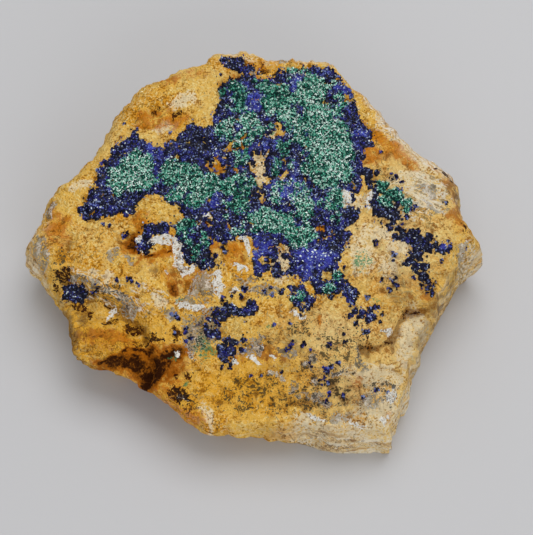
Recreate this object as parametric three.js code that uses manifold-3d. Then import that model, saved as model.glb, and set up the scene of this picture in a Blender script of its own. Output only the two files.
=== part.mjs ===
// A hand-sized mineral specimen: a slab of yellow limonite rock, thick at the back and thin at the front,
// with deep blue azurite crusts and green malachite crusts grown over its sloping upper face.
// Millimetres, +Z up, resting on its flat underside, with the front of the slab towards -Y.

import * as THREE from "three";
import { mergeVertices } from "three/addons/utils/BufferGeometryUtils.js";
import Module from "manifold-3d";

const wasm = await Module();
wasm.setup();

const FACE_HEIGHT = 21.5; // height of the upper face over the middle of the base
const FACE_SLOPE = 0.18; // rise of the upper face towards the back, mm for each mm
const CENTRE_Y = 1.4; // middle of the slab's outline, moved onto the origin
const GRID = 28; // cells across the upper face
const FACE_RINGS = 11; // rings of cells on the face; the rest round the shoulder
const WALL_RINGS = 2; // rings from the widest line down to the base
const ROUGHNESS = 0.45; // unevenness of the broken rock
const GAP = 0.3; // clearance between a crust and the rock it grew on
const SEAM = 0.35; // clearance between two crusts side by side
const AZURITE_DEPTH = 0.9; // thickness of the blue crust under its crystals
const MALACHITE_DEPTH = 0.8; // thickness of the green crust under its knobs

// Widest line of the slab, anticlockwise from the right: x, y, width of the rounded shoulder above it,
// its height over the base, and how far the base lies inside it.
const EDGE = [
  [56.4, 0.0, 6.4, 9, 3],
  [52.6, 6.8, 4.5, 10, 3],
  [51.2, 11.5, 4.6, 13, 4],
  [51.0, 15.5, 4.6, 15, 4],
  [47.8, 19.0, 5.6, 16, 4],
  [42.4, 22.2, 6.4, 17, 4],
  [37.0, 28.0, 5.8, 18, 4],
  [29.3, 36.9, 4.2, 21, 4],
  [23.4, 43.0, 2.4, 24, 4],
  [18.3, 48.0, 2.5, 26, 4],
  [13.0, 47.5, 2.0, 26, 4],
  [5.0, 47.5, 2.0, 26, 4],
  [-1.8, 50.2, 3.2, 26, 4],
  [-9.6, 49.0, 3.5, 25, 4],
  [-14.5, 47.0, 5.0, 22, 4],
  [-22.5, 44.5, 6.7, 20, 4],
  [-28.3, 41.7, 7.0, 19, 4],
  [-32.5, 37.5, 6.9, 18, 4],
  [-34.8, 33.0, 6.6, 17, 4],
  [-36.4, 29.3, 6.0, 16, 4],
  [-39.2, 25.0, 5.0, 15, 4],
  [-41.2, 21.4, 4.2, 14, 4],
  [-47.6, 15.0, 5.4, 12, 4],
  [-51.6, 11.7, 6.2, 11, 4],
  [-52.2, 7.3, 6.3, 11, 4],
  [-55.6, 1.4, 7.4, 10, 4],
  [-55.2, -2.0, 7.0, 10, 4],
  [-52.2, -6.0, 5.0, 10, 5],
  [-49.4, -9.6, 3.0, 11, 5],
  [-45.3, -16.5, 2.0, 13, 6],
  [-42.8, -23.3, 2.2, 13, 7],
  [-42.0, -27.3, 2.4, 12, 7],
  [-40.2, -29.0, 2.2, 12, 7],
  [-32.4, -31.5, 2.0, 11.5, 7],
  [-25.0, -35.3, 2.0, 11, 7],
  [-18.7, -40.6, 2.0, 10.5, 7],
  [-10.9, -46.6, 2.0, 9, 6],
  [1.0, -46.3, 1.5, 6, 3],
  [13.5, -46.4, 1.2, 5, 1],
  [20.4, -47.4, 2.0, 3, 0.6],
  [32.6, -47.4, 3.4, 2.5, 0.6],
  [33.9, -42.3, 1.0, 3, 0.6],
  [36.6, -37.2, 1.9, 4, 0.8],
  [38.2, -31.2, 1.5, 6, 1],
  [40.0, -25.0, 1.2, 9, 1.2],
  [43.4, -17.5, 1.2, 9, 1.2],
  [47.0, -11.8, 1.2, 10, 1.5],
  [50.6, -4.8, 1.6, 10, 2],
];

// Rounded swells and hollows of the upper face: x, y, half widths along x and y, height.
const SWELLS = [
  [-19, 35, 14, 8, 2.0],
  [-24.5, 6.5, 5.5, 4.5, 1.6],
  [-4.8, -3.5, 3, 3, 0.8],
  [40, 10, 8, 6, 1.2],
  [0, -30, 14, 8, 1.0],
  [-29.5, 0, 3.5, 3, -2.0],
  [-17, -10.5, 4.5, 3.5, -2.0],
  [-24, -32, 5, 4, -3.0],
];

// Steps where the face has broken away: depth, width of the slope, outline.
const STEPS = [
  [3.0, 2.5, [
    [-46, -8], [-40, -10.5], [-34, -13.5], [-28, -18], [-24, -21], [-22, -30], [-24, -40], [-46, -36],
    [-58, -14],
  ]],
  [2.0, 2.0, [
    [24.5, -25.5], [31, -24.5], [34, -23], [34.5, -19.5], [40.5, -16.5], [46, -20], [42, -32], [40, -40],
    [30, -38], [26, -32],
  ]],
];

// Outlines of the crusts on the upper face.
const AZURITE_MAIN = [
  [-41.5, 7.1], [-39.1, 11.1], [-36.6, 11.3], [-37.1, 14.9], [-34.9, 20.8], [-32.3, 24.2], [-28.9, 26.3],
  [-27.2, 23.5], [-22, 22.2], [-20.4, 24], [-16.8, 26], [-14.9, 28.5], [-11.6, 27.6], [-9.3, 30.8],
  [-7.8, 35], [-8.6, 39.3], [-4.3, 41.5], [4.8, 43.5], [12.8, 44.2], [18, 44.6], [21.8, 41.5], [23.1, 38.6],
  [25.3, 34.7], [24.6, 31.4], [27.2, 29.7], [29.2, 27.1], [29.8, 22.6], [26.9, 23.4], [26.4, 19.4],
  [26.2, 16.5], [25.8, 12.7], [24.6, 11], [22.8, 7.4], [25.5, 5.4], [22.6, 2.5], [24, 0.6], [21.9, -2.7],
  [20.4, -7], [22.5, -11], [25, -14.5], [23.2, -17.5], [20, -14.8], [15.6, -13.6], [13.7, -10.5], [7.1, -9.7],
  [2.8, -9.9], [0.4, -9], [0.5, -2], [-1, 0.2], [-4, -0.2], [-8, -0.5], [-10.5, 1], [-10.8, -4], [-7.3, -8.8],
  [-13, -7], [-17, -5.6], [-16.5, -2], [-18.5, -0.5], [-18.3, 2.3], [-16, 4.8], [-18, 6.3], [-20.5, 9.3],
  [-24, 10.8], [-28, 8.3], [-30.5, 6.2], [-34.5, 5], [-39.5, 5],
];
const BARE_WINDOWS = [
  [[0.3, 21], [1.6, 21], [2.4, 18.5], [4, 15], [3.4, 11.5], [1.5, 12.4], [0.2, 16.4]],
  [[-11, 19], [-7, 20.4], [-3.2, 19.4], [-3.4, 17], [-8, 16.4], [-10.6, 17]],
  [[14.8, 3], [18.6, 3], [19.4, 0.6], [17.6, -0.8], [16.4, 1.2]],
];
const MALACHITE = {
  malachite_left: [
    [-34.9, 13.6], [-34.2, 16.2], [-32.1, 18.5], [-28.8, 20.8], [-25.9, 19.9], [-24.1, 17.6], [-23.4, 15.3],
    [-24.4, 12.6], [-28.1, 10.4], [-31.5, 10.1], [-34, 11.4],
  ],
  malachite_middle: [
    [-21.5, 16.5], [-21.2, 18.5], [-19.1, 19.9], [-15.4, 19.4], [-12.4, 18.1], [-11.5, 15.6], [-7.3, 14.6],
    [-2.7, 14.8], [-0.7, 12.7], [-0.9, 9.1], [-3, 7.1], [-5.5, 7.8], [-6, 10.4], [-8.9, 11.8], [-11.4, 8.7],
    [-13, 6.8], [-15.6, 7.8], [-18.5, 9.9], [-21, 12.2], [-22.2, 14],
  ],
  malachite_upper: [
    [1, 39.1], [9.4, 39.1], [10.3, 41.8], [12.9, 42.6], [18, 42.8], [19.8, 41.4], [20.9, 39.1], [20.1, 35.9],
    [19.4, 32.2], [20.4, 30.4], [23.2, 28.8], [24.6, 25.7], [24, 22.1], [24.2, 16.7], [22.6, 14.9],
    [19.1, 12.7], [15.7, 12.2], [12.9, 16.2], [11.7, 18], [13.5, 21.7], [12.6, 23], [10, 24.5], [9.6, 27.6],
    [8, 30], [1.6, 31.8], [2, 35],
  ],
  malachite_band: [[-9.1, 28.5], [-7, 30.1], [3, 30.6], [5, 28.4], [1, 25.5], [-3, 26], [-8.3, 24.9]],
  malachite_corner: [[-6.8, 38], [-4, 38.5], [-1.9, 36], [-2.3, 33.5], [-5, 33], [-6.3, 35]],
  malachite_lower: [
    [-9.3, 2.6], [-6, 4], [-2.5, 3.2], [0, 4.6], [2, 6.9], [4.1, 7.8], [5.3, 6], [9.6, 6.5], [11.7, 9.6],
    [13.7, 7.8], [14.6, 5.6], [13.6, 2.4], [15.6, 0.4], [15, -1.2], [13.6, -2.8], [11.1, -3.9], [9.1, -1.9],
    [8.3, 0.3], [5.4, -0.1], [2.8, 1.2], [0, 1.8], [-4, 1],
  ],
  malachite_right: [[31.2, 13.3], [33.5, 13], [36.3, 10.4], [35.6, 8.4], [33, 7.9], [31.2, 9.4]],
};
const AZURITE_PATCHES = {
  azurite_crown: [[-6.9, 45.3], [-7, 46.2], [-2.8, 46], [-0.6, 44.4], [0.2, 43.2], [-2.4, 42.9], [-4.4, 44]],
  azurite_right_upper: [
    [26.8, 17.6], [29.6, 17.6], [30.6, 14], [30.4, 9.5], [32.5, 7.2], [36, 7.6], [36.7, 4.6], [31.2, 5],
    [29, 5], [28.3, 8], [28.8, 11.5], [27.3, 14.5],
  ],
  azurite_right_band: [
    [31.7, 3.2], [34, 3.3], [36.8, 1.8], [41, 1.2], [44, -0.4], [47.5, -1.5], [47.3, -4.5], [45, -4.8],
    [43.5, -3], [41.8, -5], [42.3, -9], [42.5, -14], [40.5, -13], [39.5, -9.5], [37, -7.5], [37.5, -3],
    [36, -0.5], [33, 1],
  ],
  azurite_rosette: [[8.2, -13.4], [10.4, -11.6], [13, -12.4], [14.6, -16.6], [12.6, -18.8], [9.4, -17.8]],
  azurite_cluster: [
    [22.6, -19.2], [24.6, -18.6], [26.4, -19.4], [29.8, -17.2], [30, -18.4], [27.4, -20.8], [26.6, -23],
    [24.4, -22.6], [22.6, -21],
  ],
  azurite_vein: [
    [-10.5, -19], [-8, -17.3], [-3, -17.8], [0, -16.5], [1.8, -17], [1, -18.6], [-1.5, -20.6], [-7, -20.4],
    [-10, -20.4],
  ],
  azurite_low: [
    [-12.6, -21.4], [-10.2, -21], [-7.4, -23.4], [-7, -25.2], [-1.4, -26], [-1.8, -28.4], [-4.6, -29.4],
    [-5, -32], [-7.6, -30.4], [-7.6, -26.8], [-10, -25],
  ],
  azurite_foot: [[-45.3, -11], [-42.5, -10.8], [-39.2, -11.9], [-38.8, -13.9], [-42.3, -14.6], [-44.8, -14.5]],
  azurite_ledge: [[-27.4, -1.6], [-24.6, 2.4], [-20.6, 3], [-19.8, 0.8], [-22.8, -0.6], [-25.4, -3.2]],
};

/** Repeatable numbers from 0 to 1, so that every crystal stays in its place. */
function sequence(seed) {
  let state = seed;
  return () => {
    state = (state * 1664525 + 1013904223) % 4294967296;
    return state / 4294967296;
  };
}

/** Distance from a point to an outline, positive inside it. */
function insideDistance(outline, x, y) {
  let inside = false;
  let nearest = Infinity;
  outline.forEach(([bx, by], i) => {
    const [ax, ay] = outline[(i + outline.length - 1) % outline.length];
    if (ay > y !== by > y && x < ((bx - ax) * (y - ay)) / (by - ay) + ax) inside = !inside;
    const span = (bx - ax) ** 2 + (by - ay) ** 2;
    const along = Math.min(1, Math.max(0, ((x - ax) * (bx - ax) + (y - ay) * (by - ay)) / span));
    nearest = Math.min(nearest, Math.hypot(x - ax - along * (bx - ax), y - ay - along * (by - ay)));
  });
  return inside ? nearest : -nearest;
}

/** Height of the upper face: a tilted plane, its swells and hollows, and the steps broken out of it. */
function faceHeight(x, y) {
  let z = FACE_HEIGHT + FACE_SLOPE * y;
  SWELLS.forEach(([cx, cy, wide, deep, height]) => {
    z += height * Math.exp(-(((x - cx) / wide) ** 2) - ((y - cy) / deep) ** 2);
  });
  STEPS.forEach(([depth, width, outline]) => {
    const share = Math.min(1, Math.max(0, insideDistance(outline, x, y) / width));
    z -= depth * share * share * (3 - 2 * share);
  });
  return z;
}

/** Where a ray from the middle at this angle meets the widest line, with that place's other measures. */
function edgeAt(angle) {
  const dx = Math.cos(angle);
  const dy = Math.sin(angle);
  for (let i = 0; i < EDGE.length; i += 1) {
    const a = EDGE[i];
    const b = EDGE[(i + 1) % EDGE.length];
    const turn = dx * (b[1] - a[1]) - dy * (b[0] - a[0]);
    const share = (dy * a[0] - dx * a[1]) / turn;
    const radius = (a[0] * (b[1] - a[1]) - a[1] * (b[0] - a[0])) / turn;
    if (radius > 0 && share >= 0 && share <= 1) {
      const mix = (k) => a[k] + share * (b[k] - a[k]);
      return { radius, shoulder: mix(2), waist: mix(3), foot: mix(4) };
    }
  }
  throw new Error("the widest line does not go round the middle");
}

/** Unevenness of broken rock at a place: a few crossed waves, between -1 and 1. */
function uneven(x, y, z) {
  const a = Math.sin(1.31 * x + 0.73 * y + 0.9 * z) + Math.sin(-0.61 * x + 1.17 * y + 1.7 * z + 2.1);
  return 0.35 * a + 0.3 * Math.sin(0.37 * x - 0.43 * y + 0.5 * z + 0.7);
}

/** Angle and ring (0 in the middle, 1 at the rim) of a place on a square grid wrapped into a disc. */
function discPlace(i, j) {
  const a = (2 * i) / GRID - 1;
  const b = (2 * j) / GRID - 1;
  const ring = Math.max(Math.abs(a), Math.abs(b));
  if (ring === 0) return { angle: 0, ring };
  if (Math.abs(a) >= Math.abs(b)) return { angle: (Math.PI / 4) * (b / a) + (a < 0 ? Math.PI : 0), ring };
  return { angle: Math.PI / 2 - (Math.PI / 4) * (a / b) + (b < 0 ? Math.PI : 0), ring };
}

/** The slab: upper face and shoulder as a grid, then rings down the wall to the flat base. */
function slabGeometry() {
  const points = [];
  const faces = [];
  const index = (i, j) => j * (GRID + 1) + i;
  const faceShare = (2 * FACE_RINGS) / GRID;
  for (let j = 0; j <= GRID; j += 1) {
    for (let i = 0; i <= GRID; i += 1) {
      const { angle, ring } = discPlace(i, j);
      const edge = edgeAt(angle);
      const rim = edge.radius - edge.shoulder;
      const round = Math.max(0, (ring - faceShare) / (1 - faceShare)) * (Math.PI / 2);
      const reach = ring <= faceShare ? (rim * ring) / faceShare : rim + edge.shoulder * Math.sin(round);
      const x = Math.cos(angle) * reach;
      const y = Math.sin(angle) * reach;
      const top = faceHeight(Math.cos(angle) * Math.min(reach, rim), Math.sin(angle) * Math.min(reach, rim));
      const z = top - (top - edge.waist) * (1 - Math.cos(round));
      points.push(new THREE.Vector3(x, y, z + ROUGHNESS * uneven(x, y, z)));
    }
  }
  for (let j = 0; j < GRID; j += 1) {
    for (let i = 0; i < GRID; i += 1) {
      const [a, b, c, d] = [index(i, j), index(i + 1, j), index(i + 1, j + 1), index(i, j + 1)];
      if (i < GRID / 2 === j < GRID / 2) faces.push([a, b, c], [a, c, d]);
      else faces.push([a, b, d], [b, c, d]);
    }
  }
  let border = [];
  for (let k = 0; k < GRID; k += 1) border.push(index(k, 0));
  for (let k = 0; k < GRID; k += 1) border.push(index(GRID, k));
  for (let k = GRID; k > 0; k -= 1) border.push(index(k, GRID));
  for (let k = GRID; k > 0; k -= 1) border.push(index(0, k));
  const widest = border.map((k) => points[k].clone());
  for (let ring = 1; ring <= WALL_RINGS; ring += 1) {
    const share = ring / WALL_RINGS;
    const next = widest.map((p) => {
      const angle = Math.atan2(p.y, p.x);
      const reach = Math.hypot(p.x, p.y) - edgeAt(angle).foot * share ** 1.4;
      const z = p.z * (1 - share);
      const shift = ring === WALL_RINGS ? 0 : ROUGHNESS * uneven(p.x, p.y, z);
      points.push(new THREE.Vector3(Math.cos(angle) * (reach + shift), Math.sin(angle) * (reach + shift), z));
      return points.length - 1;
    });
    border.forEach((k, n) => {
      const m = (n + 1) % border.length;
      faces.push([k, next[n], border[m]], [border[m], next[n], next[m]]);
    });
    border = next;
  }
  points.push(new THREE.Vector3(0, 0, 0));
  border.forEach((k, n) => faces.push([k, points.length - 1, border[(n + 1) % border.length]]));
  const geometry = new THREE.BufferGeometry().setFromPoints(points);
  geometry.setIndex(faces.flat());
  return geometry;
}

/** A three.js geometry as a solid that can be joined and cut. */
function solidOf(geometry) {
  const bare = geometry.clone();
  bare.deleteAttribute("normal");
  bare.deleteAttribute("uv");
  const merged = mergeVertices(bare, 1e-4);
  return new wasm.Manifold(
    new wasm.Mesh({
      numProp: 3,
      vertProperties: new Float32Array(merged.attributes.position.array),
      triVerts: new Uint32Array(merged.index.array),
    }),
  );
}

/** A solid as a three.js geometry, with the slab's middle moved onto the origin. */
function geometryOf(solid) {
  const mesh = solid.getMesh();
  const geometry = new THREE.BufferGeometry();
  geometry.setAttribute("position", new THREE.BufferAttribute(new Float32Array(mesh.vertProperties), 3));
  geometry.setIndex(new THREE.BufferAttribute(new Uint32Array(mesh.triVerts), 1));
  geometry.translate(0, -CENTRE_Y, 0);
  geometry.computeVertexNormals();
  return geometry;
}

/** An upright block with this outline, from inside the slab to well above it. */
function blockOver(outline, grow = 0) {
  const count = outline.length;
  const moved = outline.map(([x, y], i) => {
    const [px, py] = outline[(i + count - 1) % count];
    const [nx, ny] = outline[(i + 1) % count];
    const long = Math.hypot(nx - px, ny - py);
    const side = THREE.ShapeUtils.area(outline.map(([u, v]) => new THREE.Vector2(u, v))) > 0 ? 1 : -1;
    return new THREE.Vector2(x + (side * grow * (ny - py)) / long, y - (side * grow * (nx - px)) / long);
  });
  const geometry = new THREE.ExtrudeGeometry(new THREE.Shape(moved), { depth: 40, bevelEnabled: false, steps: 1 });
  return solidOf(geometry.translate(0, 0, 8));
}

/** One azurite crystal: a flattened four-sided block that narrows to a slanting flat head. */
function azuriteCrystal(random) {
  const size = 0.9 + 0.6 * random();
  const block = new THREE.CylinderGeometry(0.6 * size, size, 2.2 * size, 4, 1).rotateX(Math.PI / 2);
  block.scale(1, 0.6 + 0.25 * random(), 1).rotateZ(Math.PI * random());
  return block.rotateX(0.9 * (random() - 0.5)).rotateY(0.9 * (random() - 0.5));
}

/** One malachite knob: a low rounded lump with flat facets. */
function malachiteKnob(random) {
  const size = 1.0 + 0.5 * random();
  const lump = new THREE.IcosahedronGeometry(size, 0).scale(1, 1, 0.75);
  return lump.rotateZ(Math.PI * random()).rotateX(0.5 * (random() - 0.5));
}

/** Places for crystals on an even, shaken grid, clear of the outline and of the openings in it. */
function scatter(outline, openings, pitch, margin, random) {
  const places = [];
  const xs = outline.map(([x]) => x);
  const ys = outline.map(([, y]) => y);
  for (let y = Math.min(...ys); y <= Math.max(...ys); y += pitch) {
    for (let x = Math.min(...xs); x <= Math.max(...xs); x += pitch) {
      const px = x + (random() - 0.5) * pitch * 0.8;
      const py = y + (random() - 0.5) * pitch * 0.8;
      const clear = insideDistance(outline, px, py) > margin;
      if (clear && openings.every((hole) => insideDistance(hole, px, py) < -margin - SEAM)) places.push([px, py]);
    }
  }
  return places;
}

const slab = solidOf(slabGeometry());

/** A crust on the face: a sheet that follows the rock, with its crystals, cut clear of the rock below it. */
function crust(outline, openings, depth, crystal, pitch, seed) {
  const random = sequence(seed);
  let sheet = blockOver(outline).intersect(slab.translate([0, 0, GAP + depth]));
  openings.forEach((hole) => {
    sheet = sheet.subtract(blockOver(hole, SEAM));
  });
  scatter(outline, openings, pitch, 1.2, random).forEach(([x, y]) => {
    const grain = crystal(random).translate(x, y, faceHeight(x, y) + GAP + depth);
    sheet = sheet.add(solidOf(grain));
  });
  return geometryOf(sheet.subtract(slab.translate([0, 0, GAP])));
}

const specimen = new THREE.Group();

/** Adds one named piece with its own material. */
function addPiece(name, geometry, color, roughness) {
  const material = new THREE.MeshStandardMaterial({ color, roughness, metalness: 0, flatShading: true });
  const mesh = new THREE.Mesh(geometry, material);
  mesh.name = name;
  specimen.add(mesh);
}

addPiece("matrix", geometryOf(slab), 0xd2a44e, 0.85);

const openings = [...Object.values(MALACHITE), ...BARE_WINDOWS];
addPiece("azurite_main", crust(AZURITE_MAIN, openings, AZURITE_DEPTH, azuriteCrystal, 3.4, 11), 0x1c1c5c, 0.35);

Object.entries(AZURITE_PATCHES).forEach(([name, outline], i) => {
  addPiece(name, crust(outline, [], AZURITE_DEPTH, azuriteCrystal, 3.6, 40 + i), 0x1c1c5c, 0.35);
});

Object.entries(MALACHITE).forEach(([name, outline], i) => {
  addPiece(name, crust(outline, [], MALACHITE_DEPTH, malachiteKnob, 4.0, 80 + i), 0x2e866a, 0.7);
});

export default specimen;
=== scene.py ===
import math

import bpy
import numpy as np
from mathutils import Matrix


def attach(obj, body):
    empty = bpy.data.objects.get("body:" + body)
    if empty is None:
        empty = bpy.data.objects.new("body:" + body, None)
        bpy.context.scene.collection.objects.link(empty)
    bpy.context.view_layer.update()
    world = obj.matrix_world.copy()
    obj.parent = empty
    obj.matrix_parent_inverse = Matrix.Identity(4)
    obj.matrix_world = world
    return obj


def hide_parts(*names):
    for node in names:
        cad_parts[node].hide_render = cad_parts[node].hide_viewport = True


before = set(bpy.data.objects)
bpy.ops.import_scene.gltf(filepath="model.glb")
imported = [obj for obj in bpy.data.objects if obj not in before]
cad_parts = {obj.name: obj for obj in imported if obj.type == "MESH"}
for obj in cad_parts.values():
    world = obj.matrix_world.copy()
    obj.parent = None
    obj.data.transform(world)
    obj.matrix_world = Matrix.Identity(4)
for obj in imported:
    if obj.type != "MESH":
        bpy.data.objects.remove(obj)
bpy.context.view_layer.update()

# The rock: one slab of limonite, an earthy yellow iron stone, stained brown, orange, cream, grey and white.
# It broke along natural faults, so its edge is ragged and its upper face slopes, thick behind, thin in front.
# It lies loose on its flat underside. Shapes are worked out in millimetres, and a mesh is made in metres.
MILLIMETRE = 0.001
FACE_HEIGHT = 21.5
FACE_SLOPE = 0.18
CENTRE_Y = 1.4
ROCK_CELLS = 240
FACE_SHARE = 0.86
WALL_RINGS = 26
BASE_RINGS = 5
EDGE_ROUGHNESS = 0.7
WALL_ROUGHNESS = 0.9
BED_COUNT = 3.4
BED_RISE = 0.45

# Widest line, anticlockwise from the right: x, y, width of the shoulder above it, its height,
# inset of the base below it.
EDGE = np.array([
    (56.4, 0.0, 6.4, 9, 3), (52.6, 6.8, 4.5, 10, 3), (51.2, 11.5, 4.6, 13, 4), (51.0, 15.5, 4.6, 15, 4),
    (48.0, 19.0, 5.6, 16, 4), (43.0, 23.2, 6.6, 17, 4), (37.6, 28.9, 6.0, 18, 4), (29.5, 37.2, 4.2, 21, 4),
    (23.4, 43.0, 2.4, 24, 4), (18.3, 48.0, 2.5, 26, 4), (13.0, 47.5, 2.0, 26, 4), (5.0, 47.5, 2.0, 26, 4),
    (-1.8, 50.2, 3.2, 26, 4), (-9.6, 49.0, 3.5, 25, 4), (-14.5, 47.0, 5.0, 22, 4),
    (-22.5, 44.5, 6.7, 20, 4), (-28.3, 41.7, 7.0, 19, 4), (-32.5, 37.5, 6.9, 18, 4),
    (-34.8, 33.0, 6.6, 17, 4), (-36.4, 29.3, 6.0, 16, 4), (-39.2, 25.0, 5.0, 15, 4),
    (-41.2, 21.4, 4.2, 14, 4), (-47.6, 15.0, 5.4, 12, 4), (-51.6, 11.7, 6.2, 11, 4),
    (-52.2, 7.3, 6.3, 11, 4), (-55.6, 1.4, 7.4, 10, 4), (-55.2, -2.0, 7.0, 10, 4),
    (-52.2, -6.0, 5.0, 10, 5), (-49.4, -9.6, 3.0, 11, 5), (-45.3, -16.5, 2.0, 13, 6),
    (-42.8, -23.3, 2.2, 13, 7), (-42.0, -27.3, 2.4, 12, 7), (-40.2, -29.0, 2.2, 12, 7),
    (-32.4, -31.5, 2.0, 11.5, 7), (-25.0, -35.3, 2.0, 11, 7), (-18.7, -40.6, 2.0, 10.5, 7),
    (-10.9, -46.6, 2.0, 9, 6), (1.0, -46.3, 1.5, 6, 3), (13.5, -46.4, 1.2, 5, 1),
    (20.4, -47.4, 2.0, 3, 0.6), (32.6, -47.4, 3.4, 2.5, 0.6), (33.9, -42.3, 1.0, 3, 0.6),
    (36.6, -37.2, 1.9, 4, 0.8), (38.2, -31.2, 1.5, 6, 1), (40.0, -25.0, 1.2, 9, 1.2),
    (43.4, -17.5, 1.2, 9, 1.2), (47.0, -11.8, 1.2, 10, 1.5), (50.6, -4.8, 1.6, 10, 2),
])

# Swells and hollows of the face: x, y, half widths along x and y, rise.
SWELLS = [
    (-19, 35, 14, 8, 2.0), (-24.5, 6.5, 5.5, 4.5, 1.6), (-4.8, -3.5, 3, 3, 0.8), (40, 10, 8, 6, 1.2),
    (0, -30, 14, 8, 1.0), (-29.5, 0, 3.5, 3, -2.0), (-17, -10.5, 4.5, 3.5, -2.0), (-24, -32, 5, 4, -3.0),
    (-7.2, -8.3, 1.3, 1.3, 1.0), (-41.5, 12.5, 3.2, 3, 0.7), (-3, -23, 3, 2.5, 0.8),
    (-10, -21.5, 1.4, 1.3, 0.6), (-25.6, -35.5, 2.2, 2.2, -1.2), (-18.8, -12.6, 1.6, 1.6, -0.8),
]

# Steps where the face has broken away: depth, width of the slope, how far it lasts, lip, rest of the outline.
STEPS = [
    (3.0, 1.8, 900,
     [(-46, -8), (-40, -10.5), (-34, -13.5), (-28, -18), (-24, -21), (-22, -30), (-24, -40)],
     [(-46, -36), (-58, -14)]),
    (2.8, 1.0, 8,
     [(25, -26), (29, -25.8), (33, -23.6), (33.8, -19.6), (36.4, -17), (40.5, -16.8), (45, -17.5)],
     [(60, -20), (60, -60), (23, -60)]),
]

# Raised lips and cracks: rise, width, line of points.
LIPS = [
    (0.9, 1.0, [(-45, -7.6), (-40, -9.9), (-34, -12.9), (-28, -17.3), (-25.5, -20)]),
    (0.8, 0.6, [(-28.2, 0.4), (-27.8, -2), (-25.6, -3.9), (-22.8, -2.9), (-20.6, -0.8), (-18.6, -1)]),
    (-0.7, 0.35, [(24.2, -25), (27, -25.8), (29.5, -26.6)]),
    (-0.8, 0.35, [(12.4, -45.6), (14.6, -46.3)]),
    (-0.7, 0.3, [(17, -46.5), (18.2, -43.6)]),
    (-0.5, 0.35, [(-12, -10.6), (-13.4, -14.4)]),
    (-0.5, 0.4, [(36, 3.6), (41, 3), (46, 1.2)]),
    (0.5, 0.6, [(29, -25.2), (32.6, -23), (33.2, -19.2), (36.2, -16.4), (40, -16.4)]),
]

# Lumps of the face with creases between them, and finer grit: width, rise.
LUMPS = ((5.2, 0.45), (2.6, 0.35), (1.4, 0.22))
GRIT = ((1.1, 0.15), (0.7, 0.13))

# Lumps of the wall with creases between them: width, height, rise, seed of the noise.
WALL_LUMPS = ((10, 8, 1.6, 18), (4.5, 3.4, 0.9, 19), (2, 1.6, 0.45, 20))

# Layers that come out along the edge, and the rock's usual reach from its middle, which turns an angle
# into a length.
LAYER_LENGTH = 8
LAYER_THICKNESS = 0.9
LAYER_REACH = 12
USUAL_REACH = 45

# Large numbers that mix the bits of a lattice corner's place into a hashed number.
SEED_STEP = 2654435
FIRST_MIXER = np.uint32(2246822519)
SECOND_MIXER = np.uint32(3266489917)
LOW_BITS = 0xFFFF


def eased(share):
    """A share of 0 to 1 with a slow start and a slow end: 3 times its square, less twice its cube."""
    return share * share * (3 - 2 * share)


def lattice_noise(x, y, z, seed):
    """Smooth noise from 0 to 1: a hashed number at each corner of a unit lattice, blended by the eased
    distance from corner to corner."""
    places = np.broadcast_arrays(np.asarray(x, float), y, z)
    cells = [np.floor(place).astype(np.int64) for place in places]
    shares = [eased(place - cell) for place, cell in zip(places, cells)]
    total = np.zeros(cells[0].shape)
    for corner in np.ndindex(2, 2, 2):
        mixed = np.full(cells[0].shape, seed * SEED_STEP + 97, np.uint32)
        weight = 1.0
        for cell, share, end in zip(cells, shares, corner):
            mixed = (mixed ^ (cell + end).astype(np.uint32)) * FIRST_MIXER
            mixed = (mixed ^ (mixed >> np.uint32(15))) * SECOND_MIXER
            mixed = mixed ^ (mixed >> np.uint32(13))
            weight = weight * (share if end else 1 - share)
        total += weight * (mixed & np.uint32(LOW_BITS)) / LOW_BITS
    return total


def creased(noise):
    """Noise of 0 to 1 folded about its middle: lumps up to 2 high with sharp creases at 0 between them."""
    return 2 * np.abs(2 * noise - 1)


def stretch_distance(start, end, x, y):
    """Distance to one straight stretch: the place is dropped square onto it and held between its ends."""
    (ax, ay), (bx, by) = start, end
    share = ((x - ax) * (bx - ax) + (y - ay) * (by - ay)) / ((bx - ax) ** 2 + (by - ay) ** 2)
    share = np.clip(share, 0, 1)
    return np.hypot(x - ax - share * (bx - ax), y - ay - share * (by - ay))


def line_distance(line, x, y):
    """Distance to an open line of points: the nearest of its straight stretches."""
    nearest = np.full(np.shape(x), np.inf)
    for start, end in zip(line, line[1:]):
        nearest = np.minimum(nearest, stretch_distance(start, end, x, y))
    return nearest


def inside_distance(outline, x, y):
    """Distance to a closed outline, positive inside: the nearest of its stretches, with the side found by
    counting how many of them a ray along x crosses."""
    ends = np.array(outline, float)
    nearest = line_distance(np.concatenate([ends[-1:], ends]), x, y)
    inside = np.zeros(np.shape(x), bool)
    for (ax, ay), (bx, by) in zip(np.roll(ends, 1, axis=0), ends):
        inside ^= ((ay > y) != (by > y)) & (x < (bx - ax) * (y - ay) / (by - ay + 1e-12) + ax)
    return np.where(inside, nearest, -nearest)


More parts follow.
